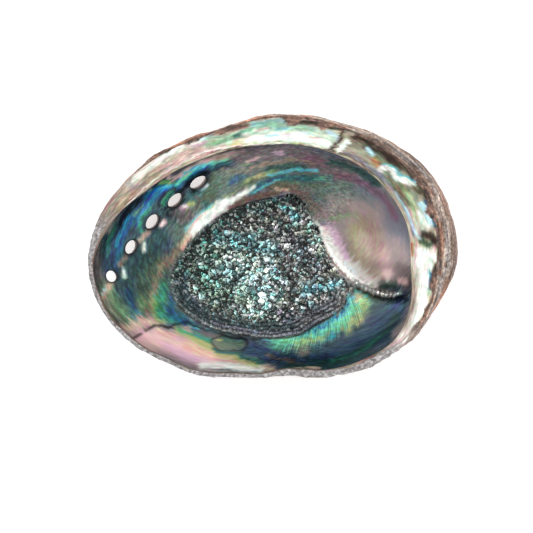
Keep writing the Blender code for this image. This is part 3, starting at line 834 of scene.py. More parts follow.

# %% [markdown]
# ## Small marks in the bowl
# Some marks are too small for soft strokes with bent edges: painted glints beside the holes, the painted
# white sheen above the scar, and the painted highlight, painted shade and thin lines of the fold's crest.
# They are laid last, with straighter edges.

# %% Glints, sheen and crest
GLINTS = (
    ("ice", 1.5, .95, ((-30.5, 23.8), (-27.5, 25.4))),
    ("white", .8, 1, ((-29.4, 24.3), (-27.6, 25.3))),
    ("lilac", 1.4, .9, ((-38.2, 16), (-35.6, 16.6))),
    ("white", .7, 1, ((-37, 16.4), (-35.8, 16.8))),
    ("gold_green", 1.1, .85, ((-35, 17.4), (-33, 17.8))),
    ("brown", 1, .7, ((-32, 15.6), (-30.5, 18), (-31.5, 20.5))),
    ("rose", 1.4, .9, ((-46.2, 8.8), (-44.6, 10))),
    ("white", .6, .9, ((-45.8, 9.2), (-45, 9.8))),
    ("peach", 1.5, .75, ((-51, 6), (-54, 3.2), (-56.6, .4))),
    ("pale_green", 1.3, .9, ((-53, 1.4), (-53.2, -1.6))),
    ("white", .6, 1, ((-52.9, 1), (-53.1, -1.2))),
    ("tan", 1.5, .8, ((-60, -4), (-62.6, -7.6))),
    ("pale_green", 1.3, .9, ((-61.2, -9.6), (-60.8, -12.6))),
    ("white", .6, 1, ((-61.1, -10), (-60.8, -12.2))),
    ("peach", 1.8, .85, ((-66, -15), (-68, -18), (-69.4, -21))),
    ("ice", .9, .9, ((-68.3, -17), (-69.3, -19.2))),
    ("sky", 1.1, .9, ((-49.6, 21.4), (-46, 23.6), (-42.5, 24.4))),
    ("cyan", .8, .9, ((-47.5, 23.4), (-45, 24.4), (-42, 24.8))),
    ("leaf", .9, .8, ((-46, 26), (-43, 26.6))),
    ("cyan", .9, .85, ((-36.5, 30), (-32, 32.4), (-28, 33.6))),
)
# The white strokes here are a painted highlight: the sheen beside the scar's upper edge.
SHEEN = (
    ("white", 4, 1, ((-32.4, 6.4), (-30, 9.6), (-27.4, 11.8))),
    ("white", 3.4, 1, ((-27, 11.2), (-24, 14.6), (-20.6, 16.4))),
    ("white", 2, 1, ((-23.4, 17.2), (-19.8, 18.8), (-17.2, 18.6))),
    ("white", 1.3, .9, ((-17, 19.4), (-13.4, 21), (-11, 23))),
    ("white", 1, .8, ((-10.6, 22.4), (-7.6, 25))),
    ("rose", .9, .7, ((-33.6, 8.6), (-30.4, 12.4))),
    ("mint", .8, .6, ((-28, 14.8), (-24, 17.6))),
    ("gold_green", .8, .6, ((-20, 20.6), (-15, 22.6))),
    ("lilac", .9, .7, ((-25, 10.6), (-20, 14))),
    ("peach", .5, .6, ((-35, 6), (-30, 12), (-24, 17))),
    ("cyan", .6, .6, ((-36, 7), (-31, 12.6), (-26, 17))),
    ("brown", 1.4, .7, ((-17, 16), (-12, 18.4), (-6, 20.6), (2, 22))),
)
CREST = (
    # Painted highlight along the crest.
    ("pearl", 1.6, .9, ((11, 17), (15.5, 11.4), (19, 7), (21.4, 1.6), (26, -5), (32, -11.6), (37, -15))),
    ("white", .8, 1, ((17, 9.6), (20.8, 3.2), (24.6, -3), (29, -8.6), (33, -12.2))),
    ("brown", .45, .8, ((11.5, 15.6), (16.4, 8.4), (20.2, .6), (24.8, -6.4), (30.6, -12.8), (34, -15.4))),
    # Painted shade in the hollow under the curl.
    ("deep_green", 1.1, .7, ((44.4, -16.8), (47, -16.3), (50, -16.8))),
    ("grey_green", 1, .6, ((43.6, -15.2), (46.6, -14.5), (50, -15.1))),
    ("rose", 1.5, .9, ((52.2, -14.4), (54.4, -15))),
    ("grey_green", 1.9, .9, ((34.6, -16.4), (38, -18), (42, -19.4), (47, -20.4), (52, -19.6))),
    ("beige", .6, .8, ((36, -15.6), (41, -17.8), (46, -19), (51, -19))),
    ("dark_brown", 1, .8, ((35, -17.2), (38, -18.8), (42, -20.6), (47, -21.6), (51, -21))),
    ("grey", .5, .8, ((37, -17.6), (42, -19.6), (47, -20.6), (51, -20))),
    ("grey_green", .9, .7, ((40, -20.8), (44.6, -22.8), (50, -22.6))),
)
BOWL_DETAILS = GLINTS + SHEEN + CREST
print(len(BOWL_DETAILS), "small marks in the bowl")

# %% [markdown]
# ## Small marks on the shelf
# The shelf has sharp flashes of colour, dark pits near its outer edge, and fine lines along its
# edges. Short narrow strokes give them, because noise would spread them evenly.

# %% Shelf details
SHELF_DETAILS = (
    ("rose", .9, .7, ((-7, 46.5), (-2, 47.2))),
    ("cyan", .7, .7, ((1, 47), (6, 47.4))),
    ("white", .8, .9, ((8, 45.6), (13, 45.8))),
    ("emerald", .6, .6, ((-13, 46), (-9, 47))),
    ("rose", .8, .7, ((14, 44.2), (18, 43.6))),
    ("peach", .7, .7, ((-16, 42.6), (-11, 43.4))),
    ("lilac", .8, .7, ((3, 44.4), (7, 44.6))),
    ("ice", 1, .9, ((-3, 44.4), (2, 45))),
    ("lilac", .9, .7, ((-32, 40), (-27, 42))),
    ("taupe", .4, .7, ((-55, 22.6), (-51, 24.4), (-48, 27.4))),
    ("slate", .35, .7, ((-46, 31), (-42.6, 31.4), (-40, 34.4))),
    ("taupe", .4, .6, ((-52, 27.4), (-50.6, 30.2))),
    ("leaf", .6, .6, ((-24, 41.4), (-19, 42.8))),
    ("taupe", .8, .6, ((-52, 25.6), (-48, 28.8), (-45, 30.4))),
    ("white", .9, .8, ((-50, 32), (-43, 36.8), (-37, 40.4))),
    ("grey", .7, .7, ((56, -36), (50, -41), (43, -45))),
    ("taupe", .5, .7, ((60, -30), (55, -36), (47, -42))),
    ("white", .6, .8, ((58.6, -33), (53, -38.6), (46, -43.6))),
    ("dark_brown", 1.5, .85, ((34, 44.6), (44, 39.8), (52, 32.6), (58.4, 25), (62.6, 18), (66.4, 8),
                              (67.4, 0), (67, -8))),
    ("brown", .5, .8, ((-60, 16.6), (-50, 25), (-40, 31.6), (-28, 37.4), (-12, 40.2), (6, 41),
                       (22, 38.6))),
    ("pearl", .5, .8, ((-59, 16.9), (-49.6, 25.4), (-39.6, 32), (-27.6, 37.9), (-12, 40.8), (6, 41.6))),
    ("dark_brown", .7, .9, ((28.6, 46.4), (27.4, 43.8), (26.8, 42))),
    ("dark_brown", .9, .8, ((24.6, 40.8), (22.8, 38.8))),
    ("white", 1.1, 1, ((29.8, 42.4), (28.2, 40), (26.4, 38.4))),
    ("ice", 1.2, 1, ((38.2, 39.4), (40, 36.6))),
    ("orange", 1.6, .4, ((40.6, 34.8), (43.4, 32.6))),
    ("white", 1.2, 1, ((43, 30.6), (45, 32), (47.6, 31.6), (49.4, 29))),
    ("cyan", .6, .9, ((43.4, 32.6), (46, 32.8), (49, 31.6), (50.4, 29))),
    ("white", 1.5, 1, ((49.6, 27.4), (53, 27), (56.6, 25.2))),
    ("cyan", .5, .9, ((51, 28.6), (55, 27.6), (57.4, 25.6))),
    ("ice", 1.4, .95, ((59.6, 17), (61.4, 13.6), (63.4, 9.4))),
    ("white", 1.3, 1, ((58.6, 13.6), (60.6, 10.4), (63, 8))),
    ("peacock", .6, .8, ((61, 18.6), (63.6, 13.4), (65.6, 7.6))),
    ("dark_brown", 1.9, .95, ((61, 4.8), (63.4, 4.2), (66, 1.6))),
    ("olive", 1.4, .9, ((59.6, 2), (63, .6))),
    ("dark_brown", 2.2, 1, ((66.4, -8.6), (65.4, -12), (64.6, -14))),
    ("peacock", .7, .7, ((63.6, -11), (63.2, -17))),
    ("dark_brown", 1, .9, ((44, 37.8), (48.6, 34.4), (51.4, 31))),
    ("dark_brown", 1.3, .9, ((33, 44), (36.6, 42.8), (40, 41))),
    ("brown", 1.8, .6, ((50, 23.4), (52.6, 20), (54.4, 17))),
    ("dark_brown", .7, .8, ((10, 50.4), (15, 50), (20, 49))),
    ("dark_brown", .7, .8, ((-22, 45.8), (-18, 47.4), (-13, 48.4))),
)
print(len(SHELF_DETAILS), "small marks on the shelf")

# %% [markdown]
# ## Where the strokes land
# The strokes are laid on the grid's points, seen from above. Noise along the growth lines bends their
# edges first, so that they look grown. Below the scar the bending is across the lip instead, which
# combs the colours into feathers.

# %% Bend the strokes' edges
FEATHER_MIDDLE, FEATHER_REACH, FEATHER_LENGTH = (18, -30), (16, 24), (7, 13)
from_feather = np.hypot(plan_x - FEATHER_MIDDLE[0], plan_y - FEATHER_MIDDLE[1])
feather = fade(from_feather, *FEATHER_REACH) * fade(-scar_depth, *FEATHER_LENGTH)
feather = feather * (scar_depth < 0.5) * is_inside
along_shift = noise(growth_place / (8, 8, 1.0), 1, 101) * np.where(is_inside, 1.7, 1.2)
across_shift = noise(growth_place / (4, 4, 1.6), 1, 102) * 0.5
across_shift = across_shift + feather * noise(growth_place / (0.8, 0.8, 9), 1, 103) * 1.6
paint_x = plan_x + across_shift * cosine - along_shift * sine
paint_y = plan_y + across_shift * sine + along_shift * cosine
near_x, near_y = plan_x + noise(points, 1.3, 104) * 0.35, plan_y + noise(points, 1.3, 105) * 0.35
print("strokes bend by up to %.1f mm" % np.abs(along_shift).max())

# %% [markdown]
# ## Base coats
# Under the strokes, the inside has patches of dark pearl. The back has stripes of rust, beige,
# brown and grey along its growth lines, each colour with stripes of its own width. Nobody would
# place these one by one, so noise drawn out along the growth lines does it.

# %% Base coats
PEARL_PATCHES = (("teal", 141), ("olive", 142), ("slate", 143), ("navy", 144))
BACK_STRIPES = (("rust", 9, 111), ("beige", 6, 112), ("dark_brown", 4, 113), ("grey", 3, 114),
                ("brown", 2, 115))  # colour, half width in mm, seed
colour = np.empty(points.shape)
colour[:] = COLOURS["taupe"]
colour[:, is_inside] = COLOURS["plum"]
for name, seed in PEARL_PATCHES:
    lay_share(colour, name, np.clip(1.2 * noise(growth_place / (30, 30, 9), 1, seed), 0, 0.8) * is_inside)
for name, width, seed in BACK_STRIPES:
    stripe = 0.5 + 0.8 * on_back(6 * width, width, seed)
    lay_share(colour, name, np.clip(stripe, 0, 1) * 0.7 * ~is_inside)
print("mean colour of the back:", np.round(colour[:, is_outside].mean(axis=(0, 1)), 2))

# %% Lay the strokes
for region, strokes, details in ((is_inside, BOWL_STROKES, BOWL_DETAILS),
                                 (is_shelf, SHELF_STROKES, SHELF_DETAILS)):
    canvas = colour[:, region].copy()
    lay_strokes(canvas, strokes, paint_x[:, region], paint_y[:, region])
    lay_strokes(canvas, details, near_x[:, region], near_y[:, region])
    colour[:, region] = canvas
print("mean colour of the bowl:", np.round(colour[:, is_inside].mean(axis=(0, 1)), 2))

# %% [markdown]
# ## The high wall and the crust on the rim
# From above, the wall on the shelf's side shows as thin bands of rust, beige, grey and brown, each a
# layer of growth. Strokes seen from above would smear down so steep a wall. The grid's rings climb it
# evenly and follow the rim, so each band is a few rings. A ragged edge of crust laps over the rim.

# %% Bands of the high wall
WALL_BANDS = (("brown", 50, 4, .4), ("rust", 55.6, 3.2, .85), ("beige", 58.6, .8, .8),
              ("grey", 59.5, .7, .8), ("dark_brown", 60.2, .35, .8), ("beige", 60.8, .6, .8),
              ("rust", 61.4, .4, .7), ("dark_brown", 62.3, .6, .9))  # colour, ring, half width, strength
wavy = ring + 0.9 * noise(growth_place / (9, 9, 30), 1, 161, 3)
for name, middle, half, strength in WALL_BANDS:
    amount = strength * fade(np.abs(wavy - middle), 0.4 * half, 1.2 * half) * wall_share
    patchy = np.clip(0.75 + 0.6 * noise(growth_place / (16, 16, 30), 1, 170 + round(middle)), 0, 1)
    lay_share(colour, name, amount * patchy)
rust_edge = fade(np.abs(wavy - 60.4), 1.2, 3) * fade(np.abs(np.degrees(azimuths) - 118), 26, 56)[:, None]
rust_edge = rust_edge * np.clip(0.6 + noise(growth_place / (9, 9, 6), 1, 162, 3), 0, 1) * ~is_inside
lay_share(colour, "rust", 0.8 * rust_edge)
over_rim = OUTSIDE_RINGS + 3.5 + 8 * np.clip(noise(growth_place / (6, 6, 40), 1, 163, 3) + 0.25, 0, 1)
crust_on_rim = (1 - is_outside) * far_side * fade(ring, over_rim, over_rim + 1.5) * ~is_inside
rim_tone = np.array(COLOURS["brown"]) + noise(points, 2, 164)[..., None] * (0.2, 0.14, 0.12)
colour += (rim_tone - colour) * crust_on_rim[..., None]
print("crust laps over %.1f rings at most" % (over_rim.max() - OUTSIDE_RINGS))

# %% [markdown]
# ## The scar
# The muscle gripped the shell here, and left it crinkled in greens and whites; the black between the
# crinkles is painted shade. In its lower part the crinkles run in lines along its edge, so the distance
# from the edge draws them.
# The fold's crest is almost as rough, and gets a large share of the same finish.

# %% Paint the scar
SCAR_STROKES = (
    ("steel", 50, 1, ((-10, -8), (-5, -8))),
    ("pearl", 2.4, .7, ((37, -18), (43, -19), (51, -19.6))),
    ("foam", 16, .8, ((-24, -4), (-12, -10), (-8, -20))),
    ("emerald", 10, .35, ((-28, -8), (-24, -18), (-14, -16))),
    ("ice", 7, .5, ((-22, -10), (-10, -14), (-2, -22))),
    ("cyan", 4, .6, ((-26, 4), (-12, 2), (0, -2))),
    ("cyan", 2.4, .9, ((4, 17), (10, 12))),
    ("ice", 2.2, .8, ((-2, -6), (1, -11), (4, -15))),
    ("cyan", 3, .7, ((14, -18), (20, -17), (27, -15))),
    ("foam", 2.6, .7, ((14, 8), (18, 3), (21, -3))),
    ("slate", 5, .5, ((6, 4), (12, -2), (18, -8))),
    ("peacock", 3, .5, ((-37, -12), (-36, -20), (-30, -27))),
    ("dark_teal", 3.4, .9, ((-39, -14), (-37, -22), (-25, -30), (-8, -33), (8, -33))),
    ("slate", 4.4, .7, ((6, -29), (14, -28), (24, -24))),
    ("slate", 1.6, 1, ((-24, -31.5), (-14, -34.2), (0, -35.8), (10, -35), (20, -30))),
    ("deep_green", 3.4, .9, ((-39.5, -12), (-36, -5), (-28, 4), (-14, 14), (0, 18), (9, 19))),
)
SCAR_LINE_GAP, SCAR_LINE_DEPTH = 1.6, 0.75  # mm between lines, and how much they darken
scar_colour = np.empty(points.shape)
scar_colour[:] = COLOURS["grey"]
lay_strokes(scar_colour, SCAR_STROKES, near_x, near_y)
rings = 0.5 + 0.5 * np.cos(2 * math.pi * scar_depth / SCAR_LINE_GAP + 2.4 * noise(points, 6, 119))
flow = fade(scar_depth, 4, 7.5) * fade(plan_y, -22, -12) * is_inside
scar_colour *= 1 - SCAR_LINE_DEPTH * (rings ** 2 * flow)[..., None]
fold_side_edge = 1 - fade(plan_x + 0.5 * plan_y, 6, 12)
ragged = scar_depth + noise(points, 1.5, 120) * (0.4 + 1.1 * fold_side_edge)
scar_share = (1 - fade(ragged, -0.1, 0.3)) * is_inside
crest = fade(fold_off + 0.5 * noise(points, 1.5, 121), 1.0, 1.5) * fade(fold_along, 0.3, 0.42) * is_inside
scar_share = np.maximum(scar_share, 0.75 * crest)
colour += (scar_colour - colour) * scar_share[..., None]
print("share of scar: %.3f" % scar_share.mean())

# %% [markdown]
# ## Lines and shadows
# A dark line is painted round the scar, along the ledge and round the blister, in the step of each. Each
# hole gets a painted shade round its rim, darker on its upper side, where the pearl dips into the hole.
# They are worked out from distances that the relief already uses, so that the paint and the relief lie on
# each other.

# %% Draw the lines
HOLE_RIM_SHADE = np.array(COLOURS["dark_brown"]) * (0.4, 0.6, 0.9)
OUTLINE_OFF, OUTLINE_WIDTH, OUTLINE_DEPTH = 0.2, 0.45, 0.75  # mm outside the scar, mm, and darkening
outline = np.exp(-((scar_depth + OUTLINE_OFF) / OUTLINE_WIDTH) ** 2) * is_inside
outline = outline * (1 - 0.75 * fold_side_edge)
colour *= 1 - OUTLINE_DEPTH * outline[..., None]
blister_edge = np.abs(blister + 0.16 * noise(points, 3.5, 151) - 1.02) * 6
for line, line_share in ((from_path(LEDGE, near_x, near_y)[0], 0.6), (blister_edge, 0.45)):
    colour *= 1 - line_share * (fade(line, 0.2, 0.85) * is_inside)[..., None]
# Painted shade round each hole, darker on its upper side.
for oval, across in hole_ovals(plan_x, plan_y):
    upper_side = 0.5 + 0.5 * np.tanh(across / 1.2)
    rim_shade = fade(oval, 1.05, 1.5) * (0.35 + 0.55 * upper_side) * is_inside
    colour += (HOLE_RIM_SHADE - colour) * rim_shade[..., None]
print("darkest line: %.2f" % colour.min())

# %% [markdown]
# ## Where each finish lies
# The shell has four finishes: polished pearl, the crinkled scar, the grey granular edge of the
# lip, and the worn crust outside. Each gets a share at every point, so the material can mix them.
# Two more shares say where the pearl glitters and where it is calm.

# %% Shares of the finishes
LIP_MIDDLE, LIP_HALF, LIP_WIDTH = 247, 78, 2.2  # degrees, degrees, mm
from_middle = np.abs((np.degrees(azimuths) - LIP_MIDDLE + 180) % 360 - 180)[:, None]
lip_side = fade(from_middle, LIP_HALF, LIP_HALF + 8)
lip_width = LIP_WIDTH + 0.8 * noise(points, 5, 131)
from_rim = np.abs(ring - OUTSIDE_RINGS - SHELF_RINGS * 0.3)[None, :] * 0.35
lip_end = OUTSIDE_RINGS - 4 + 3 * noise(growth_place / (7, 7, 30), 1, 132, 3)
lip_share = lip_side * fade(from_rim / lip_width, 1.6, 2.2) * (1 - fade(ring, lip_end - 1.5, lip_end + 1))
crust_share = np.maximum(is_outside, crust_on_rim) * (1 - lip_share)
print("lip %.3f, crust %.3f of the grid" % (lip_share.mean(), crust_share.mean()))

# %% Calm and lively pearl
CALM_PLACES = (((42, 2), (16, 20), 1, (0.8, 1.2)), ((-38, -42), (24, 8), 1, (0.8, 1.2)),
               ((40, -36), (22, 13), 0.6, (0.7, 1.1)))  # middle, half sizes, strength, edge
calm = np.zeros(scar_share.shape)
for (x, y), (half_x, half_y), strength, edge in CALM_PLACES:
    calm = np.maximum(calm, strength * fade(np.hypot((plan_x - x) / half_x, (plan_y - y) / half_y), *edge))
calm = calm * is_inside
lively = (1 - 0.85 * calm) * np.clip(1.15 - 1.3 * colour.mean(axis=2), 0, 1)
lively[:, is_shelf] = np.maximum(lively[:, is_shelf], 0.35)
lively += (1 - lively) * scar_share
lively = np.where(is_outside, wall_share, lively)
lines = feather + flow * scar_share
shares = np.stack((scar_share, crust_share, lip_share, lines), axis=2)
print("lively %.2f on average, calm %.2f" % (lively.mean(), calm.mean()))

# %% [markdown]
# ## Bend a grid into the shell
# The shell is one flat grid, bent so that its long side goes round the shell and its short side
# runs from the foot, over the rim, to the floor of the bowl. Its seam and its two poles are merged,
# which leaves one closed wall. Sculpting could give the same shape, but not the same each time.

# %% Bend the grid
def add_piece(name, bm):
    """Turns a bmesh into a linked object."""
    mesh = bpy.data.meshes.new(name)
    bm.to_mesh(mesh)
    bm.free()
    piece = bpy.data.objects.new(name, mesh)
    bpy.context.scene.collection.objects.link(piece)
    return piece


bm = bmesh.new()
bmesh.ops.create_grid(bm, x_segments=SEGMENTS, y_segments=RINGS, size=1)
for corner in bm.verts:
    step = round((corner.co.x + 1) / 2 * SEGMENTS)
    corner.co = points[step, round((corner.co.y + 1) / 2 * RINGS)] * UNIT
bmesh.ops.remove_doubles(bm, verts=bm.verts, dist=1e-6)
bmesh.ops.recalc_face_normals(bm, faces=bm.faces)
blank = add_piece("shell_blank", bm)
print("blank:", len(blank.data.vertices), "points")

# %% [markdown]
# ## Breathing holes
# The animal breathes out through the newest holes and seals the older ones. Leaving faces out of the
# grid would give each hole a stepped edge. Cutting an oval bar out of the wall gives a clean one, and
# the exact solver keeps the wall closed. The bars lean out, as the holes do.

# %% Bars for the holes
BAR_LENGTH, BAR_SIDES, ABOVE_SHELL = 26, 40, 80
bpy.context.view_layer.update()
bm = bmesh.new()
for (x, y), turn, (length, width) in HOLES:
    azimuth = math.atan2(y - LOFT_CENTRE[1], x - LOFT_CENTRE[0])
    floor_point = blank.ray_cast(Vector((x, y, ABOVE_SHELL)) * UNIT, Vector((0, 0, -1)))[1]
    lean = Matrix.Rotation(math.radians(HOLE_LEAN), 4, (math.sin(azimuth), -math.cos(azimuth), 0))
    place = (Matrix.Scale(UNIT, 4) @ Matrix.Translation((x, y, floor_point.z / UNIT)) @ lean
             @ Matrix.Rotation(turn, 4, "Z") @ Matrix.Diagonal((length / 2, width / 2, 1, 1)))
    bmesh.ops.create_cone(bm, cap_ends=True, segments=BAR_SIDES, radius1=1, radius2=1,
                          depth=BAR_LENGTH, matrix=place)
bmesh.ops.recalc_face_normals(bm, faces=bm.faces)
bars = add_piece("hole_bars", bm)
print("bars:", len(HOLES))

# %% Cut the holes
cut = blank.modifiers.new("holes", "BOOLEAN")
cut.operation, cut.solver, cut.object = "DIFFERENCE", "EXACT", bars
bpy.context.view_layer.update()
evaluated = blank.evaluated_get(bpy.context.evaluated_depsgraph_get())
mesh = bpy.data.meshes.new_from_object(evaluated)
mesh.name = "abalone_shell"
shell = bpy.data.objects.new("abalone_shell", mesh)
bpy.context.scene.collection.objects.link(shell)
for helper in (blank, bars):
    bpy.data.objects.remove(helper)
shell.data.shade_smooth()
triangles = sum(len(face.vertices) - 2 for face in mesh.polygons)
print("shell:", len(mesh.vertices), "points,", triangles, "triangles")

# %% [markdown]
# ## Carry the paint over to the cut shell
# The cut makes new points, so each point of the shell takes the paint of the nearest grid point.
# Attributes hold it, and the material reads them by name. The paint is turned from colour as seen
# into amounts of light, which is what a shader works with.

# %% Store paint and shares on the shell
def linear(colours):
    """Colours as seen, turned into amounts of light."""
    colours = np.clip(colours, 0, 1)
    return np.where(colours <= 0.04045, colours / 12.92, ((colours + 0.055) / 1.055) ** 2.4)


def store(name, kind, field, values):
    """Writes values from the grid to an attribute of the cut shell."""
    layer = mesh.attributes.new(name, kind, "POINT")
    flat = values.reshape(len(points) * (RINGS + 1), -1)
    layer.data.foreach_set(field, flat[nearest].ravel().astype(np.float32))


tree = KDTree(len(points) * (RINGS + 1))
for index, place in enumerate((points * UNIT).reshape(-1, 3)):
    tree.insert(place, index)
tree.balance()
nearest = np.array([tree.find(corner.co)[1] for corner in mesh.vertices])
store("paint", "FLOAT_COLOR", "color", np.concatenate((linear(colour), lively[..., None]), axis=2))
store("shares", "FLOAT_COLOR", "color", shares)
store("calm", "FLOAT", "value", calm)
store("growth_place", "FLOAT_VECTOR", "vector", growth_place)
store("back_place", "FLOAT_VECTOR", "vector", back_place)
print("painted", len(nearest), "points")

# %% [markdown]
# ## The shell's material
# One Principled shader carries all four finishes, because they run into each other with no seam. A
# node graph this size is hard to read when each node is set by hand, so a few helpers each add
# one kind of node and give back its output.

# %% Helpers for nodes
material = bpy.data.materials.new("abalone")
material.use_nodes = True
nodes, links = material.node_tree.nodes, material.node_tree.links
shader = nodes["Principled BSDF"]


def plug(socket, value):
    """Links another node's output to a socket, or sets the socket's own value."""
    if isinstance(value, bpy.types.NodeSocket):
        links.new(value, socket)
    else:
        socket.default_value = value


def attribute(name, output="Color"):
    reader = nodes.new("ShaderNodeAttribute")
    reader.attribute_name = name
    return reader.outputs[output]


def parted(colour):
    """The red, green and blue of a colour."""
    node = nodes.new("ShaderNodeSeparateColor")
    plug(node.inputs[0], colour)
    return node.outputs


def sums(operation, a, b=0.0, c=0.0):
    node = nodes.new("ShaderNodeMath")
    node.operation = operation
    for socket, value in zip(node.inputs, (a, b, c)):
        plug(socket, value)
    return node.outputs[0]


def stretched(place, scale):
    node = nodes.new("ShaderNodeMapping")
    node.inputs["Scale"].default_value = scale
    plug(node.inputs["Vector"], place)
    return node.outputs[0]


print("material:", material.name)

# %% Helpers for patterns
def cloud(place, scale, detail=2.0, output="Fac"):
    """Soft noise."""
    node = nodes.new("ShaderNodeTexNoise")
    plug(node.inputs["Vector"], place)
    node.inputs["Scale"].default_value, node.inputs["Detail"].default_value = scale, detail
    return node.outputs[output]


def ramp(factor, stops):
    """Colours along a factor: stops are (place, colour)."""
    node = nodes.new("ShaderNodeValToRGB")
    plug(node.inputs[0], factor)
    bar = node.color_ramp.elements
    while len(bar) < len(stops):
        bar.new(0.5)
    for element, (place, tone) in zip(bar, stops):
        element.position = place
        element.color = (*tone, 1) if isinstance(tone, tuple) else (tone, tone, tone, 1)
    return node.outputs[0]


def blend(share, a, b, how="MIX"):
    """A share of b over a. Sockets 6 and 7 are the mix node's two colours."""
    node = nodes.new("ShaderNodeMix")
    node.data_type, node.blend_type = "RGBA", how
    plug(node.inputs["Factor"], share)
    plug(node.inputs[6], a)
    plug(node.inputs[7], b)
    return node.outputs[2]


print("helpers ready, nodes so far:", len(nodes))

# %% [markdown]
# ## Pearl
# Polished pearl shimmers in fine streaks that follow the growth lines. Noise stretched along those
# lines turns the painted hue a little and tints it, and broad noise cut into repeating steps gives
# fringes like those of a thin film. Calm places get little of it.

# %% Pearl: shimmer and streaks
place = stretched(nodes.new("ShaderNodeTexCoord").outputs["Object"], (1 / UNIT,) * 3)
growth = attribute("growth_place", "Vector")
scar_part, crust_part, lip_part = parted(attribute("shares"))
lines_part = attribute("shares", "Alpha")
paint_colour = attribute("paint")
lively_part = attribute("paint", "Alpha")
along_lip = cloud(stretched(growth, (0.12, 0.12, 1.1)), 1.0, 4.0)
shimmer = ramp(along_lip, ((0.3, (1.0, 0.80, 0.90)), (0.43, (1.0, 0.97, 0.93)), (0.52, (0.84, 1.0, 0.92)),
                           (0.62, (0.86, 0.96, 1.0)), (0.75, (1.0, 0.92, 0.98))))
turned = nodes.new("ShaderNodeHueSaturation")
plug(turned.inputs["Hue"], sums("ADD", sums("MULTIPLY", sums("SUBTRACT", along_lip, 0.5), 0.35), 0.5))
turned.inputs["Saturation"].default_value = 1.15
plug(turned.inputs["Color"], paint_colour)
streaky = sums("MULTIPLY_ADD", attribute("calm", "Fac"), -0.6, 0.8)
pearl = blend(streaky, turned.outputs[0], shimmer, "MULTIPLY")
streak = ramp(cloud(stretched(growth, (0.2, 0.2, 0.7)), 1.0, 3.0), ((0.32, 0.7), (0.5, 1.0), (0.68, 1.3)))
pearl = blend(streaky, pearl, streak, "MULTIPLY")
print("pearl:", len(nodes), "nodes so far")

# %% Pearl: fringes, flecks and feathers
broad = cloud(stretched(growth, (0.05, 0.05, 0.3)), 1.0, 3.0)
fringes = ramp(sums("FRACT", sums("MULTIPLY", broad, 8.0)),
               ((0.0, (0.5, 0.55, 0.65)), (0.07, (0.85, 0.95, 1.15)), (0.35, (1.0, 1.14, 0.86)),
                (0.65, (1.18, 0.95, 1.0)), (1.0, (0.95, 1.0, 1.12))))
pearl = blend(sums("MULTIPLY", lively_part, 0.9), pearl, fringes, "MULTIPLY")
flecks = cloud(stretched(growth, (0.32, 0.32, 1.2)), 1.0, 3.0)
flecked = blend(1.0, pearl, ramp(flecks, ((0.34, 0.4), (0.5, 0.95), (0.66, 1.8))), "MULTIPLY")
blush = ramp(cloud(place, 0.7, 1.0),
             ((0.36, (1.0, 0.78, 0.95)), (0.5, (1.0, 1.0, 1.0)), (0.64, (0.75, 1.0, 0.92))))
pearl = blend(lively_part, pearl, blend(1.0, flecked, blush, "MULTIPLY"))
across_lip = cloud(stretched(growth, (3.0, 3.0, 0.1)), 1.0, 3.0)
fan = ramp(across_lip, ((0.36, 0.35), (0.5, 1.0), (0.62, 1.45)))
pearl = blend(lines_part, pearl, blend(1.0, pearl, fan, "MULTIPLY"))
print("pearl:", len(nodes), "nodes so far")

# %% [markdown]
# ## Crinkles of the scar
# The scar is broken into small curled chips, each painted lighter on one side as if lit, with painted
# shade in the black creases between. Cells of two sizes give the chips. Each cell has its own tone and
# tint, arcs round its middle, and a painted shadow on one side. Moving the cells' places about by noise
# keeps them from looking like tiles.

# %% Cells of the scar
def vector_sums(operation, a, b):
    node = nodes.new("ShaderNodeVectorMath")
    node.operation = operation
    plug(node.inputs[0], a)
    plug(node.inputs[1], b)
    return node


def shifted(place, scale, reach):
    """A place moved about by noise, so straight patterns bend."""
    node = vector_sums("MULTIPLY_ADD", cloud(place, scale, 2.0, "Color"), (reach,) * 3)
    plug(node.inputs[2], place)
    return node.outputs[0]


def cells(where, scale, feature="F1"):
    node = nodes.new("ShaderNodeTexVoronoi")
    node.feature = feature
    plug(node.inputs["Vector"], where)
    node.inputs["Scale"].default_value = scale
    return node


def crinkled(base, where, scale):
    """Cells in shades of the base, painted lighter on one side, with painted shade in the creases."""
    cell = cells(where, scale)
    tone, hue, _ = parted(cell.outputs["Color"])
    slope = vector_sums("SUBTRACT", where, cell.outputs["Position"]).outputs[0]
    # Painted light and shade: each cell is lighter on one side than on the other.
    lit = vector_sums("DOT_PRODUCT", slope, (-0.5 * scale, 0.8 * scale, 0)).outputs["Value"]
    shades = (ramp(tone, ((0.0, 0.08), (0.4, 0.45), (0.75, 1.3), (1.0, 3.2))),
              ramp(hue, ((0.0, (0.55, 1.0, 0.85)), (0.3, (0.6, 0.9, 1.0)), (0.5, (1.0, 0.95, 0.92)),
                         (0.75, (1.0, 1.0, 0.8)), (1.0, (0.95, 0.75, 0.95)))),
              ramp(sums("ADD", lit, 0.5), ((0.1, 0.3), (0.5, 0.9), (0.9, 2.0))),
              ramp(sums("FRACT", sums("MULTIPLY", cell.outputs["Distance"], 3.4)),
                   ((0.0, 0.15), (0.2, 0.75), (0.75, 1.35), (1.0, 0.5))))
    toned = base
    for shade in shades:
        toned = blend(1.0, toned, shade, "MULTIPLY")
    # Painted shade in the creases between the cells.
    crease = cells(where, scale, "DISTANCE_TO_EDGE").outputs["Distance"]
    return blend(1.0, toned, ramp(crease, ((0.03, 0.0), (0.12, 1.0))), "MULTIPLY"), crease


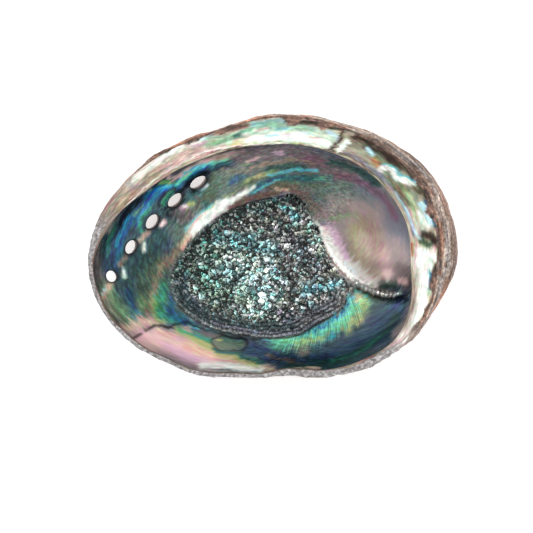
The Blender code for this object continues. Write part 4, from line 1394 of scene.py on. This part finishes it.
coarse, coarse_crease = crinkled(paint_colour, shifted(place, 0.4, 3.2), 0.4)
small, small_crease = crinkled(paint_colour, shifted(place, 0.6, 2.2), 0.66)
patches = ramp(cloud(place, 0.16, 2.0), ((0.46, 0.0), (0.54, 1.0)))
scar = blend(patches, coarse, small)
crease = blend(patches, coarse_crease, small_crease)
print("scar:", len(nodes), "nodes so far")

# %% [markdown]
# ## Swirls, glints and veins
# Lines of equal height in a soft noise give swirls, like contours on a map. A few bright glints and
# some long dark veins are laid over them. The lower part of the scar takes the swirls alone.

# %% Swirls, glints and veins of the scar
contour = sums("FRACT", sums("MULTIPLY", cloud(place, 0.3, 1.0), 6.5))
swirls = ramp(contour, ((0.0, 0.03), (0.22, 0.8), (0.85, 1.7), (1.0, 0.2)))
scar = blend(0.8, scar, blend(1.0, scar, swirls, "MULTIPLY"))
glint = ramp(cloud(place, 0.8, 2.0), ((0.56, 0.0), (0.66, 0.8)))
scar = blend(glint, scar, blend(0.35, paint_colour, (1.0, 1.0, 0.95, 1.0)))
veins = ramp(cells(shifted(place, 0.2, 6.0), 0.13, "DISTANCE_TO_EDGE").outputs["Distance"],
             ((0.01, 0.1), (0.07, 1.0)))
scar = blend(0.85, scar, veins, "MULTIPLY")
soft_swirls = ramp(contour, ((0.0, 0.12), (0.25, 0.8), (0.8, 1.35), (1.0, 0.5)))
flowing = blend(1.0, paint_colour, soft_swirls, "MULTIPLY")
scar = blend(sums("MULTIPLY", lines_part, 0.6), scar, flowing)
print("scar:", len(nodes), "nodes so far")

# %% [markdown]
# ## Lip and crust
# The lip's edge is bare chalky shell, grey and granular. The crust outside is dull and flaky, with
# dark lines where growth paused. Both need only noise and cells, in the same directions as the relief.

# %% Lip and crust
grains = cloud(place, 0.9, 3.0)
lip = ramp(grains, ((0.3, (0.12, 0.11, 0.11)), (0.5, (0.30, 0.28, 0.28)), (0.7, (0.60, 0.58, 0.58))))
old_lips = cloud(stretched(attribute("back_place", "Vector"), (0.07, 0.07, 0.7)), 1.0, 4.0)
wall_lines = cloud(stretched(growth, (0.07, 0.07, 2.6)), 1.0, 4.0)
stripes = ramp(blend(lively_part, old_lips, wall_lines),
               ((0.36, 0.35), (0.46, 0.95), (0.54, 1.2), (0.68, 2.0)))
flakes = cells(shifted(stretched(place, (1.0, 1.0, 1.6)), 0.5, 3.0), 0.45, "DISTANCE_TO_EDGE")
crust = blend(0.8, paint_colour, stripes, "MULTIPLY")
crust = blend(0.75, crust, ramp(grains, ((0.32, 0.45), (0.5, 1.05), (0.68, 1.9))), "MULTIPLY")
flaked = ramp(flakes.outputs["Distance"], ((0.02, 0.25), (0.1, 1.1), (0.5, 1.3)))
crust = blend(0.5, crust, flaked, "MULTIPLY")
finish = pearl
for part, layer in ((scar_part, scar), (crust_part, crust), (lip_part, lip)):
    finish = blend(part, finish, layer)
plug(shader.inputs["Base Color"], finish)
print("material:", len(nodes), "nodes so far")

# %% [markdown]
# ## Gloss and small bumps
# Pearl reflects like a thin metal film where it is dark and colourful, and like glazed china where
# it is pale, so how metallic it is follows how lively it is. Lip and crust are dull. A bump, far
# smaller than the relief, breaks up the highlights.

# %% Gloss and small bumps
PEARL_ROUGHNESS, DULL_ROUGHNESS, PEARL_COAT = 0.27, 0.5, 0.12
dull = sums("MAXIMUM", crust_part, lip_part)
polished = sums("SUBTRACT", 1.0, dull)
metal = sums("MULTIPLY_ADD", sums("POWER", lively_part, 1.5), 0.5, 0.25)
plug(shader.inputs["Roughness"], sums("MULTIPLY_ADD", dull, DULL_ROUGHNESS, PEARL_ROUGHNESS))
plug(shader.inputs["Metallic"], sums("MULTIPLY", polished, metal))
plug(shader.inputs["Coat Weight"], sums("MULTIPLY", polished, PEARL_COAT))
shader.inputs["Coat Roughness"].default_value = 0.12
bump = nodes.new("ShaderNodeBump")
bump.inputs["Distance"].default_value = 0.4 * UNIT
bump.inputs["Strength"].default_value = 0.6
fine_lines = blend(0.9, along_lip, (0.5, 0.5, 0.5, 1))
plug(bump.inputs["Height"], blend(dull, blend(scar_part, fine_lines, crease), grains))
plug(shader.inputs["Normal"], bump.outputs[0])
mesh.materials.clear()
mesh.materials.append(material)
print("material:", len(nodes), "nodes")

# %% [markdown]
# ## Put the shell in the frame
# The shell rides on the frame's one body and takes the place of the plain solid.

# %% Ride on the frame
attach(shell, "root")
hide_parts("shell")
print("shell rides on root")

# %% [markdown]
# ## A pale floor
# A large pale sheet under the shell shows through the holes and catches a soft shadow. A little light
# of its own keeps it nearly white.

# %% Floor
FLOOR_HALF, FLOOR_TONE, FLOOR_GLOW = 3, 0.94, 0.3
bm = bmesh.new()
bmesh.ops.create_grid(bm, x_segments=1, y_segments=1, size=FLOOR_HALF)
floor = add_piece("floor", bm)
pale = bpy.data.materials.new("pale_floor")
pale.use_nodes = True
for name, value in (("Base Color", (FLOOR_TONE,) * 3 + (1,)), ("Roughness", 0.9),
                    ("Emission Color", (1, 1, 1, 1)), ("Emission Strength", FLOOR_GLOW)):
    pale.node_tree.nodes["Principled BSDF"].inputs[name].default_value = value
floor.data.materials.append(pale)
print("floor:", 2 * FLOOR_HALF, "m across")

# %% [markdown]
# ## Soft light
# Pearl mirrors what is round it, so a bright even surround fills it with light. Two large round
# lamps, a stronger one behind on the left and a weaker one in front on the right, add form.

# %% Surround and lamps
world = bpy.data.worlds.new("studio")
bpy.context.scene.world = world
world.use_nodes = True
world.node_tree.nodes["Background"].inputs["Color"].default_value = (1, 1, 1, 1)
world.node_tree.nodes["Background"].inputs["Strength"].default_value = 0.9


def add_lamp(name, place, watts, size=1.2):
    """A round soft lamp aimed at the shell; place and size in metres."""
    lamp = bpy.data.lights.new(name, "AREA")
    lamp.shape, lamp.size, lamp.energy = "DISK", size, watts
    light = bpy.data.objects.new(name, lamp)
    light.location = place
    light.rotation_euler = (-Vector(place)).to_track_quat("-Z", "Y").to_euler()
    bpy.context.scene.collection.objects.link(light)


add_lamp("key", (-0.4, 0.5, 0.9), 4.5)
add_lamp("fill", (0.6, -0.5, 0.7), 2.5)
print("lamps: key and fill")

# %% [markdown]
# ## Camera
# The camera looks straight down. Its lens could be set by eye. Here it is worked out, so that a
# known width at the level of the rim fills the view.

# %% Camera
VIEW_HEIGHT, RIM_LEVEL, SENSOR = 1.2, 0.034, 36  # metres, metres, millimetres
VIEW_SPAN, VIEW_MIDDLE = 215.49, (-2.628, -8.288)  # millimetres on the shell
camera_data = bpy.data.cameras.new("camera")
camera_data.sensor_width = SENSOR
camera_data.lens = SENSOR * (VIEW_HEIGHT - RIM_LEVEL) / (VIEW_SPAN * UNIT)
camera = bpy.data.objects.new("camera", camera_data)
camera.location = (VIEW_MIDDLE[0] * UNIT, VIEW_MIDDLE[1] * UNIT, VIEW_HEIGHT)
bpy.context.scene.collection.objects.link(camera)
bpy.context.scene.camera = camera
bpy.context.scene.view_settings.view_transform = "Standard"
print("lens: %.1f mm" % camera_data.lens)
